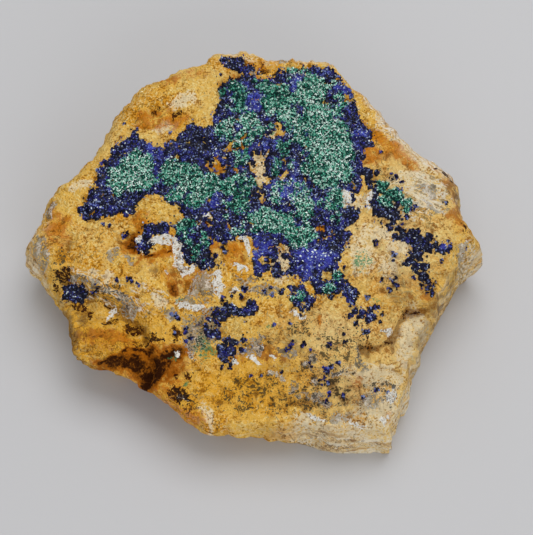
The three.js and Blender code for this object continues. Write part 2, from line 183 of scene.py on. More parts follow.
def edge_at(angle, rough=EDGE_ROUGHNESS):
    """Reach, shoulder, height and inset of the widest line: a ray from the middle cut with the stretch that
    it meets, and noise on the reach."""
    corner = np.unwrap(np.arctan2(EDGE[:, 1], EDGE[:, 0]))
    turned = (angle - corner[0]) % (2 * math.pi) + corner[0]
    stretch = np.searchsorted(corner, turned, side="right") - 1
    start = EDGE[stretch]
    step = EDGE[(stretch + 1) % len(EDGE)] - start
    dx, dy = np.cos(angle), np.sin(angle)
    cross = dx * step[..., 1] - dy * step[..., 0]
    share = (dy * start[..., 0] - dx * start[..., 1]) / cross
    reach = (start[..., 0] * step[..., 1] - start[..., 1] * step[..., 0]) / cross
    x, y = dx * reach, dy * reach
    ragged = lattice_noise(x / 3.2, y / 3.2, 0, 3) + 0.5 * lattice_noise(x, y, 0, 4)
    shoulder, height, inset = np.moveaxis((start + share[..., None] * step)[..., 2:], -1, 0)
    return reach + rough * (2 * ragged - 1.5), shoulder, height, inset


def beds(x, y):
    """Number of the thin bed that lies open at a place: noise in two sizes times the count of beds, read as a
    level."""
    broad, narrow = lattice_noise(x / 7.5, y / 7.5, 0, 51), lattice_noise(x / 2.6, y / 2.6, 0, 52)
    return BED_COUNT * (broad + 0.45 * narrow)


def rock_top(x, y):
    """Height of the upper face: a tilted plane, round swells, steps broken out, lips, thin beds with steep
    risers between flat treads, lumps with creases between them, and grit."""
    height = FACE_HEIGHT + FACE_SLOPE * y
    for cx, cy, wide, deep, rise in SWELLS:
        height = height + rise * np.exp(-((x - cx) / wide) ** 2 - ((y - cy) / deep) ** 2)
    ragged = lattice_noise(x / 2.4, y / 2.4, 0, 7) - 0.5
    for depth, width, lasting, lip, rest in STEPS:
        share = np.clip((inside_distance(lip + rest, x, y) + 1.6 * ragged) / width, 0, 1)
        height = height - depth * eased(share) * np.exp(-line_distance(lip, x, y) / lasting)
    for rise, width, line in LIPS:
        height = height + rise * np.exp(-((line_distance(line, x, y) + ragged) / width) ** 2)
    level = beds(x, y)
    riser = np.clip((level % 1 - 0.4) / 0.2, 0, 1)
    height = height + BED_RISE * (np.floor(level) + eased(riser) - 2.5)
    for size, rise in LUMPS:
        height = height + rise * (creased(lattice_noise(x / size, y / size, 0, int(size * 10))) - 0.5)
    for size, rise in GRIT:
        height = height + rise * (2 * lattice_noise(x / size, y / size, 0, int(size * 10)) - 1)
    return height


def rock_surface(x, y):
    """Height of the rock from above: the upper face out to its rim, then a quarter ellipse down to the widest
    line."""
    reach, shoulder, waist, _ = edge_at(np.arctan2(y, x))
    far = np.maximum(np.hypot(x, y), 1e-6)
    inner = np.minimum(1, (reach - shoulder) / far)
    top = rock_top(x * inner, y * inner)
    out = np.clip((far - reach + shoulder) / shoulder, 0, 1)
    return top - (top - waist) * (1 - np.sqrt(1 - out ** 2))


def edge_streaks(x, y, z):
    """Layers of the rock where they come out along its edge: noise drawn out along the edge, thin across it
    and in height, fading inwards from the widest line."""
    angle = np.arctan2(y, x)
    in_from_edge = edge_at(angle)[0] - np.hypot(x, y)
    layers = lattice_noise(USUAL_REACH * angle / LAYER_LENGTH, in_from_edge / LAYER_THICKNESS,
                           z / LAYER_THICKNESS, 17)
    return layers * np.clip(1 - in_from_edge / LAYER_REACH, 0, 1)


def grid_quads(index):
    """Four-cornered faces between the neighbours on a grid of point numbers."""
    corners = [index[:-1, :-1], index[:-1, 1:], index[1:, 1:], index[1:, :-1]]
    return np.stack(corners, axis=-1).reshape(-1, 4)


def round_points(far, turn, z):
    """Points at these distances from the middle, directions and heights, as one list."""
    return np.stack([far * np.cos(turn), far * np.sin(turn), z], axis=-1).reshape(-1, 3)


def wall_relief(x, y, z):
    """Relief of the wall, at most half a millimetre out: thin layers plus lumps with creases, in three
    sizes."""
    strata = lattice_noise(x / 7, y / 7, z / 1.5, 14) + 0.6 * lattice_noise(x / 1.6, y / 1.6, z / 0.9, 15)
    relief = WALL_ROUGHNESS * (strata - 0.8)
    for wide, high, rise, seed in WALL_LUMPS:
        relief = relief + rise * (creased(lattice_noise(x / wide, y / wide, z / high, seed)) - 0.7)
    return np.minimum(relief, 0.5)


def rock_shape():
    """The slab: a square grid wrapped into a disc for the top, rings down the wall, and rings in to the
    middle of the base. Gives points, faces, and how far each point belongs to the wall, from 0 to 1."""
    # The top: each square ring of the grid is a ring of the disc, the outermost on the widest line.
    side = np.linspace(-1, 1, ROCK_CELLS + 1)
    across, along = np.meshgrid(side, side)
    ring = np.maximum(np.abs(across), np.abs(along))
    steep = np.abs(along) > np.abs(across)
    long = np.where(steep, along, across)
    short = np.where(steep, across, along) / np.where(long == 0, 1, long) * math.pi / 4
    angle = np.where(steep, math.pi / 2 - short, short) + np.where(long < 0, math.pi, 0)
    reach, shoulder, _, inset = edge_at(angle)
    rim = reach - shoulder
    round_off = np.clip((ring - FACE_SHARE) / (1 - FACE_SHARE), 0, 1) * math.pi / 2
    far = np.where(ring <= FACE_SHARE, rim * ring / FACE_SHARE, rim + shoulder * np.sin(round_off))
    x, y = far * np.cos(angle), far * np.sin(angle)
    z = rock_surface(x * 0.9995, y * 0.9995)
    rough = lattice_noise(x / 2.6, y / 2.6, z / 1.6, 11) + 0.5 * lattice_noise(x, y, z / 0.7, 12) - 0.75
    far = far + WALL_ROUGHNESS * rough * np.sin(round_off) * (1 - 0.8 * stain(FIBROUS, x, y))
    top = round_points(far, angle, z)
    index = np.arange(len(top)).reshape(ROCK_CELLS + 1, -1)
    border = np.concatenate([index[0, :-1], index[:-1, -1], index[-1, :0:-1], index[:0:-1, 0]])

    # The wall: rings from the border of the top down to the floor, drawn in towards the base.
    turn, widest, inset = angle.ravel()[border], far.ravel()[border], inset.ravel()[border]
    down = np.linspace(0, 1, WALL_RINGS + 1)[1:, None]
    wall_z = top[border, 2] * (1 - down)
    plain = edge_at(turn, 0)[0]
    wall_far = plain + (widest - plain) * (1 - down) ** 2 - inset * down ** 1.4
    relief = wall_relief(wall_far * np.cos(turn), wall_far * np.sin(turn), wall_z)
    wall_far = wall_far + relief * np.minimum(1, 5 * down) * (1 - 0.5 * down ** 4)

    # The base: rings from the foot of the wall inwards, a little hollow, and one point in the middle.
    inward = np.linspace(1, 0, BASE_RINGS + 1)[1:-1, None]
    base_far = wall_far[-1] * inward
    base_z = 0.5 * lattice_noise(base_far * np.cos(turn) / 6, base_far * np.sin(turn) / 6, 0, 16)
    lower = round_points(np.concatenate([wall_far, base_far]), turn, np.concatenate([wall_z, base_z]))
    loops = np.concatenate([border[None, :], len(top) + np.arange(len(lower)).reshape(-1, len(border))])
    ahead = np.roll(loops, -1, axis=1)
    rings = np.stack([loops[:-1], loops[1:], ahead[1:], ahead[:-1]], axis=-1).reshape(-1, 4)
    middle = len(top) + len(lower)
    fan = np.stack([loops[-1], np.full(len(border), middle), ahead[-1]], axis=-1)
    points = np.concatenate([top, lower, [(0, 0, 0.3)]])
    points[: len(top), 2] += 0.6 * edge_streaks(*points[: len(top)].T) - 0.2
    wall = np.concatenate([np.sin(round_off).ravel(), np.ones(len(lower) + 1)])
    return points, [np.concatenate([grid_quads(index), rings]), fan], wall


# Stains as turned ellipses: x, y, half width, half height, turn in degrees.
CREAM_STAINS = [
    (-17, 34.5, 3.6, 1.8, 20), (-42, 12.6, 2, 1.6, 20), (41, 13, 6, 3, -20), (41, 8, 5, 2.5, -10),
    (37, 15, 3, 2, 0), (26, -4.5, 3.4, 4.5, 0), (37.5, -21.5, 3.2, 4.6, -25), (36, -26, 2, 4, -15),
    (28, -34, 6, 3.5, 0), (30, -41.5, 5, 4, 0), (24, -46.5, 11, 3, 0), (26.5, 8.5, 3, 2.4, 0),
    (1.8, 17, 2, 4.4, -12), (-22, 27.5, 4, 1.4, 10), (37.6, 23.8, 12, 2.2, -46), (40.4, 25.4, 11, 1.4, -46),
    (-11.5, -43.5, 2, 3, 30), (14, -45, 3.5, 2, 0), (3.5, 27, 3, 2, -30), (23, 8.5, 2.6, 3, 0),
    (34, 14, 3, 2, 0), (7, -7, 2.5, 4, 0), (35, -2, 2.5, 2.5, 0), (-36, -9, 6, 1, -20),
    (45, 19, 2, 1.4, -40), (33, -8, 3, 3, 0), (30, 1, 3, 2, 0), (-23, -16.5, 3, 1.4, -30),
    (12, -3, 8, 1.4, 0),
]
ORANGE_STAINS = [
    (-23, 29.5, 5, 2.2, 10), (-18, 29, 3, 2, 15), (-18, 41, 5, 1.6, 10), (32, 24.5, 6.5, 2, -46),
    (37, 20.6, 5, 1.5, -44), (28.5, 20.5, 3, 2.2, 0), (48.8, 8, 1.8, 7, 0), (48.4, 14.4, 2.6, 2.6, 0),
    (-4.4, -4, 2.6, 3.4, 0), (-27.4, 3, 1.8, 3.2, -20), (-29.8, -2, 2, 3, 20), (-22.5, -4.4, 4.5, 1.4, 25),
    (-27.6, -4.2, 2, 1, -35), (-16, -9.6, 5.5, 2.4, -12), (-24, -30.5, 9, 4, -20), (-8.8, 18.6, 3, 1.9, 0),
    (-4.2, 17.4, 1.6, 1, 0), (-3.6, 23.8, 3, 1.8, 20), (2, 44.2, 3.4, 1.4, -10), (37.5, -15.2, 0.9, 0.6, 0),
    (42, -15, 0.9, 0.6, 0), (16.3, -21.5, 1, 1.2, 0), (24.5, -36.5, 1.5, 1.5, 0), (32, -43.6, 1, 1.2, 0),
    (17, 1, 2.2, 2.4, 0), (-9.4, -1.6, 1.3, 3, 10), (-18, -43, 7, 3, -38), (2, 9, 1.4, 1, 0),
    (-12, 3.6, 2.2, 1, 0), (-20, -36, 4, 4, -30), (-3, 40, 5, 1.5, 0), (-47, 2, 3, 5, 0),
    (-33, -24, 7, 2, -15), (3, -30, 8, 2, 0),
]
# Burnt brown blots: the gully's own dark stain, and painted shadow below the ledge's curled lip and in the
# small hollow to its lower right.
BURNT_STAINS_AND_SHADOWS = [
    (-24.5, -31.5, 6, 2.6, -8), (-25.8, -35.6, 2.0, 3.0, 0), (-20, -29.2, 4, 1.6, 15),
    (-30, -30.4, 3, 1.6, -20), (-24.4, -4.5, 1.5, 0.3, 16), (-29.4, -1.6, 0.6, 2.2, 10),
    (-27.8, -3.6, 0.9, 0.4, -50), (-21, -2.6, 1, 0.5, 50), (-22.5, -33.5, 3, 2, 40),
    (-34, -29.4, 3, 0.8, -15), (-18.8, -12.6, 0.9, 1, 30), (-26, -27.4, 3, 0.7, 0),
    (-31, -27.6, 2, 0.6, 20), (-20.6, -27, 1.4, 0.8, 30),
]
# Dark brown blots; the thin ones along the lip of the chip at the lower right are painted shadow under that
# lip.
BROWN_STAINS_AND_LIP_SHADOWS = [
    (-41.4, -15.8, 2, 1.2, -30), (-38.8, -18, 1, 0.7, -40), (-33.5, -19.6, 1.6, 0.9, -20),
    (-28, -21.6, 2, 1, -10), (-24, -25.4, 3, 0.6, 0), (-16.4, -38.6, 1.8, 2.4, 20), (-23, 32, 1, 0.8, 0),
    (-18.4, 31.2, 1, 0.9, 0), (-24.6, 30.6, 0.7, 0.6, 0), (47, 16.4, 2.4, 0.6, -25),
    (48.6, 15.2, 1.4, 0.7, -25), (27, -25.8, 3, 0.4, -14), (34.6, -19.4, 0.5, 1.6, 15),
    (37.4, -17.8, 2.4, 0.4, 5), (32.4, -24.8, 1.6, 0.4, 25), (-12.2, 3.4, 1.6, 0.7, 10),
    (-5, 24.4, 1.6, 0.8, 20), (17.6, 2.2, 1.4, 0.8, 20), (49.8, 2.6, 0.6, 1.6, 0), (3.6, 43, 2.6, 1, 0),
    (-5.2, -14.2, 1, 0.8, 30), (-14, -34, 1, 1.6, 0), (-17.5, -34, 0.8, 1, 0), (-45.5, -8, 1.4, 1.6, 0),
    (-48, -10.6, 1, 1.2, 0), (-18.5, -23.6, 1.3, 2, 0), (-17, -39, 2, 2.4, 20), (-43.6, -12, 2.4, 0.8, -40),
    (-36, -16, 1.6, 0.6, -30),
]
GREY_STAINS = [
    (-41, -9.6, 4, 0.9, -18), (-36, -12.2, 3, 0.9, -25), (-31, -15.6, 3.5, 1.5, -36),
    (-28, -17.8, 2.6, 1, -36), (-12.2, -12.4, 2.8, 3, -20), (-15.6, -15.6, 2.4, 1.4, 0),
    (-33, -5.2, 2.4, 1.4, -35), (-29, -5.8, 1.4, 0.5, -20), (50.4, -4, 0.8, 3.4, 0), (13, -31, 1.6, 1, 0),
    (16, -39, 2.4, 1.2, 0), (9.5, -36.2, 1.8, 1.3, 0), (21, -34.4, 2, 1.2, 0), (15.5, -35.6, 1.4, 0.8, 0),
    (15.4, -29, 1.5, 0.8, 0), (20.6, -43.6, 3.2, 1.3, 0), (-51.6, -4, 2.4, 5, 0), (-49.5, 8, 1.4, 2.6, 0),
    (-12, -24, 4.4, 5.4, -20), (-2.4, -11.4, 1.8, 1.7, 0), (0.8, -9.8, 1.4, 1, 0),
    (2.8, -26.5, 1.3, 1.6, 0), (1.4, 42.6, 1.6, 0.8, 0), (42, 10.5, 3.6, 0.6, -15), (44, 6.6, 3, 0.5, -20),
    (8, 45.2, 1.4, 0.8, 0), (12, 34.4, 0.9, 1.1, 0), (25, -29, 1, 2.6, 0), (-21.4, -9, 0.5, 1.3, -30),
    (-20, -19, 3, 1.4, -20), (33, 6.5, 3, 2, 0), (4, -13, 4, 1.5, 0), (-9, -18, 3, 0.8, 0),
    (0, -28.6, 3, 2.6, 0), (29, -40, 2.5, 1.6, 0), (18.5, -41, 1.8, 0.8, -10), (12.5, -38.5, 1.6, 0.8, 10),
    (8.5, -29.5, 1.4, 1.1, 0), (5, -34, 1.6, 0.8, 0), (25.5, -32, 1.1, 1.8, 0),
]
WHITE_STAINS = [
    (-18.3, -3.8, 1.7, 3.2, 0), (-16.2, -7, 2.6, 1.1, -12), (-28, -0.7, 1, 1.9, 20),
    (-23.4, -0.6, 2.6, 0.9, 12), (-27.2, -3.4, 1.4, 0.6, -40), (-20.6, -0.6, 1.4, 0.8, 0),
    (-3.2, -7.8, 2.4, 1, -12), (-1.2, -2.6, 0.8, 2.6, 18), (-8.4, -11.8, 1.3, 2.6, 12),
    (-14.6, -17.4, 2.8, 1.1, 0), (-18.6, -29.2, 0.8, 0.8, 0), (0, -31.4, 2, 0.7, -15), (-4, -31, 1, 0.6, 0),
    (5.5, -31, 0.7, 0.6, 0), (3, -28.6, 0.8, 0.7, 0), (12, -18.6, 1.6, 0.6, 0), (31.8, -23.2, 1.3, 0.7, 30),
    (31, -44, 1.6, 1, 20), (33, -38.6, 1, 2, 0), (25, -45, 2, 0.7, 0), (15, -44, 1.4, 0.7, 0),
    (-33.8, -17.8, 0.9, 0.8, 0), (-16, -39.8, 1.2, 0.8, 0), (-5, -13.4, 1.1, 1.3, 0),
    (22.4, 10, 1.5, 2.6, 25), (20.8, 4.8, 1.2, 1.3, 0), (-11.4, 4.6, 2, 0.7, -10), (-11, -0.6, 0.9, 1.6, 0),
    (28.4, 9, 1, 2, 0),
]
GREEN_STAINS = [
    (26, -5.4, 2.2, 2.8, 0), (4, -22, 0.9, 1.4, 20), (-11, -27.4, 2.2, 3, 25), (-8.6, -29, 1.2, 0.9, 0),
    (29, -15.8, 1.6, 0.6, 0), (-19.4, -30.6, 0.8, 0.6, 0), (-15, -36, 0.6, 0.4, 0),
    (-16.4, -15.4, 1.2, 0.8, 0), (5, 27.6, 1.8, 1.2, 0), (18.4, -12.4, 1, 1.6, 0),
]

# Broad tones of the ground: fair to the right, golden at the lower left and in front, darker at the left
# foot, in the lower middle and along the right edge. The darker tone is painted shade at the left foot and
# along the lower right wall, which face away from the light, and a darker ground elsewhere.
FAIR_GROUND = [
    (34, -2, 10, 10, 0), (37, -25, 6, 7, -20), (38, 12, 8, 8, 0), (25, -36, 9, 7, 0), (20, -24, 8, 5, 0),
]
GOLDEN_GROUND = [(-31, -23, 14, 8, -20), (-4, -37, 14, 6, 0), (-40, -20, 6, 8, 0), (-20, -40, 8, 5, -38)]
DUSKY_GROUND_AND_SHADE = [
    (-43, -21, 5, 9, 10), (19, -39, 9, 5, 0), (36, -13, 4, 4, 0), (49.6, 12, 3, 5, 0),
    (45, -18, 3.4, 15, -24), (8, -29, 6, 4, 0),
]

# Fibres that run along the upper right bevel, and lines along the left ridge, the right shoulder and the nub.
FIBROUS = [(37.5, 28.5, 15, 3.6, -46), (46.5, 18.5, 4, 2.6, -40)]
STRIATED = [
    (-35, -13.2, 11, 2.0, -30), (41.5, 9.5, 5, 5.5, -30), (52, -5, 2.4, 4.5, 0), (-24, -14, 4, 1.2, -35),
]

# Stretches of the edge where pale layers come out, and ground with black specks.
PALE_EDGES = [
    (39, 27, 16, 6, -46), (44, 13, 7, 8, 0), (55.5, -4, 3.4, 6, 0), (47.4, -19, 3.4, 16, -24),
    (24, -46, 14, 6, 0), (-54, -1, 4, 9, 0), (37, -36, 4, 10, -15), (0, 50, 60, 4, 0),
]
SPECKLED = [
    (16, -38, 7, 5, 0), (13, -32, 4, 3, 0), (20, -33, 4, 3, 0), (9.5, -36.5, 2.5, 2, 0), (3, -27, 3, 3, 0),
    (7, -41, 6, 3, 0), (-3, -41, 5, 2, 0), (24.6, -29, 1.6, 4, 0), (-12, -24, 5, 6, -20),
    (-24, -25, 4, 1.5, 0), (32, -38, 4, 3, 0), (-32, -14, 6, 3, -30), (33, 15, 4, 3, 0),
    (4, -13.5, 4, 2, 0), (-46, -8, 3, 4, 0), (12, -22.5, 5, 3, 0), (3, 43.6, 5, 2, 0),
    (-16, -40, 4, 4, -30), (2, -38, 9, 4, 0), (15, -38, 11, 6, 0), (20, -28, 9, 5, 0),
]

# Noise that frays the stains: its width, and how far it moves a place.
STAIN_SHIFTS = ((4.0, 1.8), (1.6, 1.1), (0.7, 0.6))


def stain(blots, x, y, sharp=2):
    """Strength of a stain: each blot is 1 in the middle of its turned ellipse and fades past it, steeply
    where it is sharp; the most counts. Noise first moves every place a little, so no border is even."""
    strength = np.zeros(np.shape(x))
    for size, shift in STAIN_SHIFTS:
        moved_x = x + shift * (2 * lattice_noise(x / size, y / size, 0.5, 31) - 1)
        y = y + shift * (2 * lattice_noise(x / size, y / size, 0.5, 32) - 1)
        x = moved_x
    for cx, cy, wide, high, turn in blots:
        cos, sin = math.cos(math.radians(turn)), math.sin(math.radians(turn))
        along, across = (x - cx) * cos + (y - cy) * sin, (y - cy) * cos - (x - cx) * sin
        strength = np.maximum(strength, np.exp(-0.7 * ((along / wide) ** 2 + (across / high) ** 2) ** sharp))
    return strength


class Tone:
    """One socket in a material's nodes. Arithmetic on tones and plain numbers adds Math nodes."""

    def __init__(self, tree, socket=None):
        self.tree = tree
        self.socket = socket

    def node(self, kind, settings, sockets, output=0):
        """Adds any node: its type, its settings, then the values or links of its sockets."""
        made = self.tree.nodes.new(kind)
        for name, value in settings.items():
            setattr(made, name, value)
        for name, value in sockets.items():
            if isinstance(value, Tone):
                self.tree.links.new(value.socket, made.inputs[name])
            else:
                made.inputs[name].default_value = value
        return Tone(self.tree, made.outputs[output])

    def feed(self, shader, name):
        """Links this tone to a socket of the material's shader."""
        self.tree.links.new(self.socket, shader.inputs[name])

    def maths(self, operation, first, second):
        """A Math node on two tones or numbers."""
        return self.node("ShaderNodeMath", {"operation": operation}, {0: first, 1: second})

    def __add__(self, other):
        return self.maths("ADD", self, other)

    def __radd__(self, other):
        return self.maths("ADD", other, self)

    def __sub__(self, other):
        return self.maths("SUBTRACT", self, other)

    def __rsub__(self, other):
        return self.maths("SUBTRACT", other, self)

    def __mul__(self, other):
        return self.maths("MULTIPLY", self, other)

    def __rmul__(self, other):
        return self.maths("MULTIPLY", other, self)


def start_finish(name, roughness, shine):
    """A material of one roughness and shine: gives it, its shader and a tone from which its nodes grow."""
    material = bpy.data.materials.new(name)
    material.use_nodes = True
    shader = material.node_tree.nodes["Principled BSDF"]
    shader.inputs["Roughness"].default_value = roughness
    shader.inputs["Specular IOR Level"].default_value = shine
    return material, shader, Tone(material.node_tree)


def paint(red, green, blue):
    """A colour of 0 to 255 as the eye sees it, turned into the light that the shader works with."""
    shares = [part / 255 for part in (red, green, blue)]
    return (*[((share + 0.055) / 1.055) ** 2.4 if share > 0.04045 else share / 12.92 for share in shares], 1)


def grain(start, place, size):
    """Noise whose lumps are about this many millimetres wide, stretched to run from about -1 to 1."""
    sockets = {"Vector": place, "Scale": 1 / MILLIMETRE / size, "Detail": 3, "Roughness": 0.55}
    return start.node("ShaderNodeTexNoise", {}, sockets) * 5 - 2.5


def fade(value, low, high):
    """0 at low, 1 at high, held beyond both, with a smooth rise between; low may be the larger of the two."""
    return value.node("ShaderNodeMapRange", {"interpolation_type": "SMOOTHSTEP"},
                      {"Value": value, "From Min": low, "From Max": high})


def blend(amount, first, second):
    """The first colour where amount is 0 and the second where it is 1."""
    return amount.node("ShaderNodeMix", {"data_type": "RGBA"}, {0: amount, 6: first, 7: second}, 2)


def coat(colour, coats):
    """Coats laid over a colour one after another, each an amount from 0 to 1 and the coat's own colour."""
    for amount, tone in coats:
        colour = blend(amount, colour, tone)
    return colour


def mark(start, name):
    """A number that the mesh carries at each of its points."""
    return start.node("ShaderNodeAttribute", {"attribute_name": name}, {}, "Fac")


def frayed(start, name, noise):
    """A mark whose border is frayed by noise, and which stays 0 where the mesh carries none of it."""
    return mark(start, name) * (1 + noise * 2.2)


def drawn_out(start, place, turn):
    """The place turned and shortened along one direction, so that noise read there runs in lines that way."""
    return start.node("ShaderNodeMapping", {"vector_type": "TEXTURE"},
                      {"Vector": place, "Rotation": (0, 0, math.radians(turn)), "Scale": (20, 1, 1)})


def rock_finish():
    """Ochre earth in two shades, toned by bed and by ground, darker in places as painted shade; pale and dark
    grains that follow the fine bump, partly painted highlight on their tops and painted shade between; pale
    and brown layers at the edge, fibres and lines; stains with frayed borders, painted shade in hollows and
    under lips, cracks, black specks, a fine bump."""
    material, shader, start = start_finish("limonite_rock", 0.9, 0.05)
    place = start.node("ShaderNodeTexCoord", {}, {}, "Object")
    flat = start.node("ShaderNodeVectorMath", {"operation": "MULTIPLY"}, {0: place, 1: (0.13, 0.13, 1)})
    broad, middle, small, tiny, dust = [grain(start, place, size) for size in (9.0, 2.6, 1.1, 0.55, 0.28)]
    layers = grain(start, flat, 1.0)
    fibres, lines = [grain(start, drawn_out(start, place, turn), 0.8) for turn in (-46, -30)]
    ridge = grain(start, place, 4.0) + tiny * 0.1
    crack = start.node("ShaderNodeMath", {"operation": "ABSOLUTE"}, {0: ridge})
    edge = middle * 0.16 + small * 0.26 + tiny * 0.3
    soft = middle * 0.22 + small * 0.16 + tiny * 0.14
    rusty = soft + edge * 0.5 + fibres * 0.12
    earth = small * 0.5 + tiny * 0.5 + dust * 0.35
    wall, pale, golden = [mark(start, name) for name in ("wall", "pale", "golden")]
    fibrous = fade(frayed(start, "fibrous", edge), 0.2, 0.6)
    striated = fade(frayed(start, "striated", edge), 0.2, 0.55)
    burnt_and_shadow = frayed(start, "burnt_and_shadow", soft * 0.6)
    grey = blend(fade(tiny * 0.6 + middle, -0.6, 0.1), paint(116, 106, 88), paint(172, 162, 144))
    grey = blend(fade(tiny * 0.6 + middle, 0.2, 0.8), grey, paint(226, 216, 202))
    white = blend(fade(earth, -0.7, 0.0), paint(190, 178, 158), paint(246, 242, 232))
    ochre = blend(fade(broad * 0.5 + middle * 0.4, -0.4, 0.5), paint(242, 194, 92), paint(230, 160, 38))
    ground = coat(ochre, [
        (fade(mark(start, "bed") + edge * 0.3, 0.45, 0.8) * 0.4, paint(244, 210, 130)),
        (mark(start, "fair") * 0.6, paint(236, 206, 150)),
        (golden * 0.7, paint(236, 174, 52)),
        # Pale grains where the fine bump is high and dark ones where it is low: partly the stone's own
        # grains, partly painted highlight on their tops and painted shade in the pits between.
        (fade(earth, 0.1, 0.55) * (0.7 - golden * 0.4), paint(255, 232, 158)),
        (fade(0 - earth + middle * 0.45, 0.32, 0.74) * 0.72, paint(146, 86, 20)),
        (fade(mark(start, "streak") + edge * 0.4, 0.36, 0.6) * pale * 0.75, paint(250, 234, 200)),
        (fade(frayed(start, "cream", edge), 0.3, 0.8) * 0.8, paint(248, 230, 190)),
        (fade(frayed(start, "orange", rusty), 0.25, 1.0) * 0.85, paint(206, 122, 20)),
    ])
    edges = coat(ground, [
        (wall * pale * 0.45, paint(246, 216, 158)),
        (fade(layers + small * 0.7 + middle * 0.4, 0.1, 0.6) * wall * (pale * 0.65 + 0.15),
         paint(255, 244, 220)),
        (fade(0 - layers + small * 0.7, 0.3, 0.7) * wall * (pale * 0.3 + 0.3), paint(172, 108, 34)),
        # Darker brown: painted shade at the left foot and the lower right wall, darker ground elsewhere.
        (mark(start, "dusky_and_shade") * fade(middle + small * 0.6, -1.0, 0.8) * 0.8, paint(120, 94, 58)),
        (fibrous * 0.7, paint(234, 206, 162)),
        (fade(fibres + small * 0.25, 0.05, 0.4) * fibrous * 0.9, paint(252, 240, 222)),
        (fade(0 - fibres + small * 0.25, 0.2, 0.55) * fibrous * 0.6, paint(196, 130, 58)),
    ])
    colour = coat(edges, [
        # Painted shade in the hollows of the face, darkest where they are deepest.
        (fade(mark(start, "hollow_shade") + edge * 0.5, 0.3, 0.8) * 0.6, paint(120, 68, 18)),
        # Burnt orange to dark brown: the gully's stain, and painted shadow below the ledge's lip and in a
        # small hollow.
        (fade(burnt_and_shadow, 0.03, 0.4) * 0.9, paint(176, 98, 14)),
        (fade(burnt_and_shadow, 0.35, 0.85) * 0.97, paint(44, 18, 6)),
        (fade(lines + tiny * 0.3, 0.0, 0.4) * striated * 0.8, paint(240, 230, 208)),
        (fade(0 - lines + tiny * 0.3, 0.15, 0.5) * striated * 0.65, paint(126, 104, 72)),
        (fade(frayed(start, "grey", edge), 0.4, 0.65) * 0.85, grey),
        (fade(frayed(start, "white", edge * 0.65), 0.42, 0.58), white),
        (fade(frayed(start, "green", edge * 1.6 + dust * 0.5), 0.65, 1.2) * 0.8, paint(58, 142, 92)),
        # Dark brown blots, partly painted shadow under the chip's lip.
        (fade(frayed(start, "brown", edge * 1.3 + dust * 0.25), 0.5, 0.66) * 0.95, paint(58, 20, 8)),
        (fade(crack, 0.12, 0.0) * fade(broad - small * 0.3, -0.1, 0.4) * 0.7, paint(96, 56, 18)),
        (fade(earth + middle * 0.5 + mark(start, "speckled") * 1.05, 1.2, 1.4) * 0.85, paint(46, 34, 24)),
    ])
    colour.feed(shader, "Base Color")
    relief = {"Strength": 1.0, "Distance": 0.28 * MILLIMETRE, "Height": earth + middle * 0.6}
    start.node("ShaderNodeBump", {}, relief).feed(shader, "Normal")
    return material


def add_piece(name, points, faces, smooth, marks, material, nodes):
    """Puts points and faces into a mesh in metres with the slab's middle on the origin, and fixes it to the
    body. Of its faces, the first so many are smooth."""
    mesh = bpy.data.meshes.new(name)
    sizes = np.concatenate([np.full(len(part), part.shape[1]) for part in faces])
    corners = np.concatenate([part.ravel() for part in faces])
    mesh.vertices.add(len(points))
    mesh.vertices.foreach_set("co", ((points - (0, CENTRE_Y, 0)) * MILLIMETRE).ravel())
    mesh.loops.add(len(corners))
    mesh.loops.foreach_set("vertex_index", corners.astype(np.int32))
    mesh.polygons.add(len(sizes))
    mesh.polygons.foreach_set("loop_start", (np.cumsum(sizes) - sizes).astype(np.int32))
    mesh.update(calc_edges=True)
    mesh.polygons.foreach_set("use_smooth", np.arange(len(sizes)) < smooth)
    for mark_name, values in marks.items():
        layer = mesh.attributes.new(mark_name, "FLOAT", "POINT")
        layer.data.foreach_set("value", np.asarray(values, np.float32))
    mesh.materials.append(material)
    piece = bpy.data.objects.new(name, mesh)
    bpy.context.collection.objects.link(piece)
    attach(piece, "root")
    if nodes:
        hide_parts(*nodes)


# The rock's height on an even grid, from which crusts and the hollows that are painted darker as shade are
# worked out.
CELL = 0.33
SPAN_X = (-58, 58)
SPAN_Y = (-50, 52)
FIELD_X = np.arange(*SPAN_X, CELL)
FIELD_Y = np.arange(*SPAN_Y, CELL)
rock_field = rock_surface(*np.meshgrid(FIELD_X, FIELD_Y))


def field_at(field, x, y):
    """The field's value between its points, from the four points about each place."""
    col = np.clip((x - FIELD_X[0]) / CELL, 0, len(FIELD_X) - 1.001)
    row = np.clip((y - FIELD_Y[0]) / CELL, 0, len(FIELD_Y) - 1.001)
    i, j = col.astype(int), row.astype(int)
    u, v = col - i, row - j
    lower = field[j, i] * (1 - u) + field[j, i + 1] * u
    return lower * (1 - v) + (field[j + 1, i] * (1 - u) + field[j + 1, i + 1] * u) * v


def hollows():
    """How far the face lies under its own average, near by and farther round: the field is evened out step by
    step, and at each step the field is taken from it. The face's colour is darkened by it as painted shade."""
    even = rock_field
    depth = 0
    for _ in range(60):
        even = (np.roll(even, 1, 0) + np.roll(even, -1, 0) + np.roll(even, 1, 1) + np.roll(even, -1, 1)) / 4
        depth = depth + (even - rock_field) / 40
    return depth


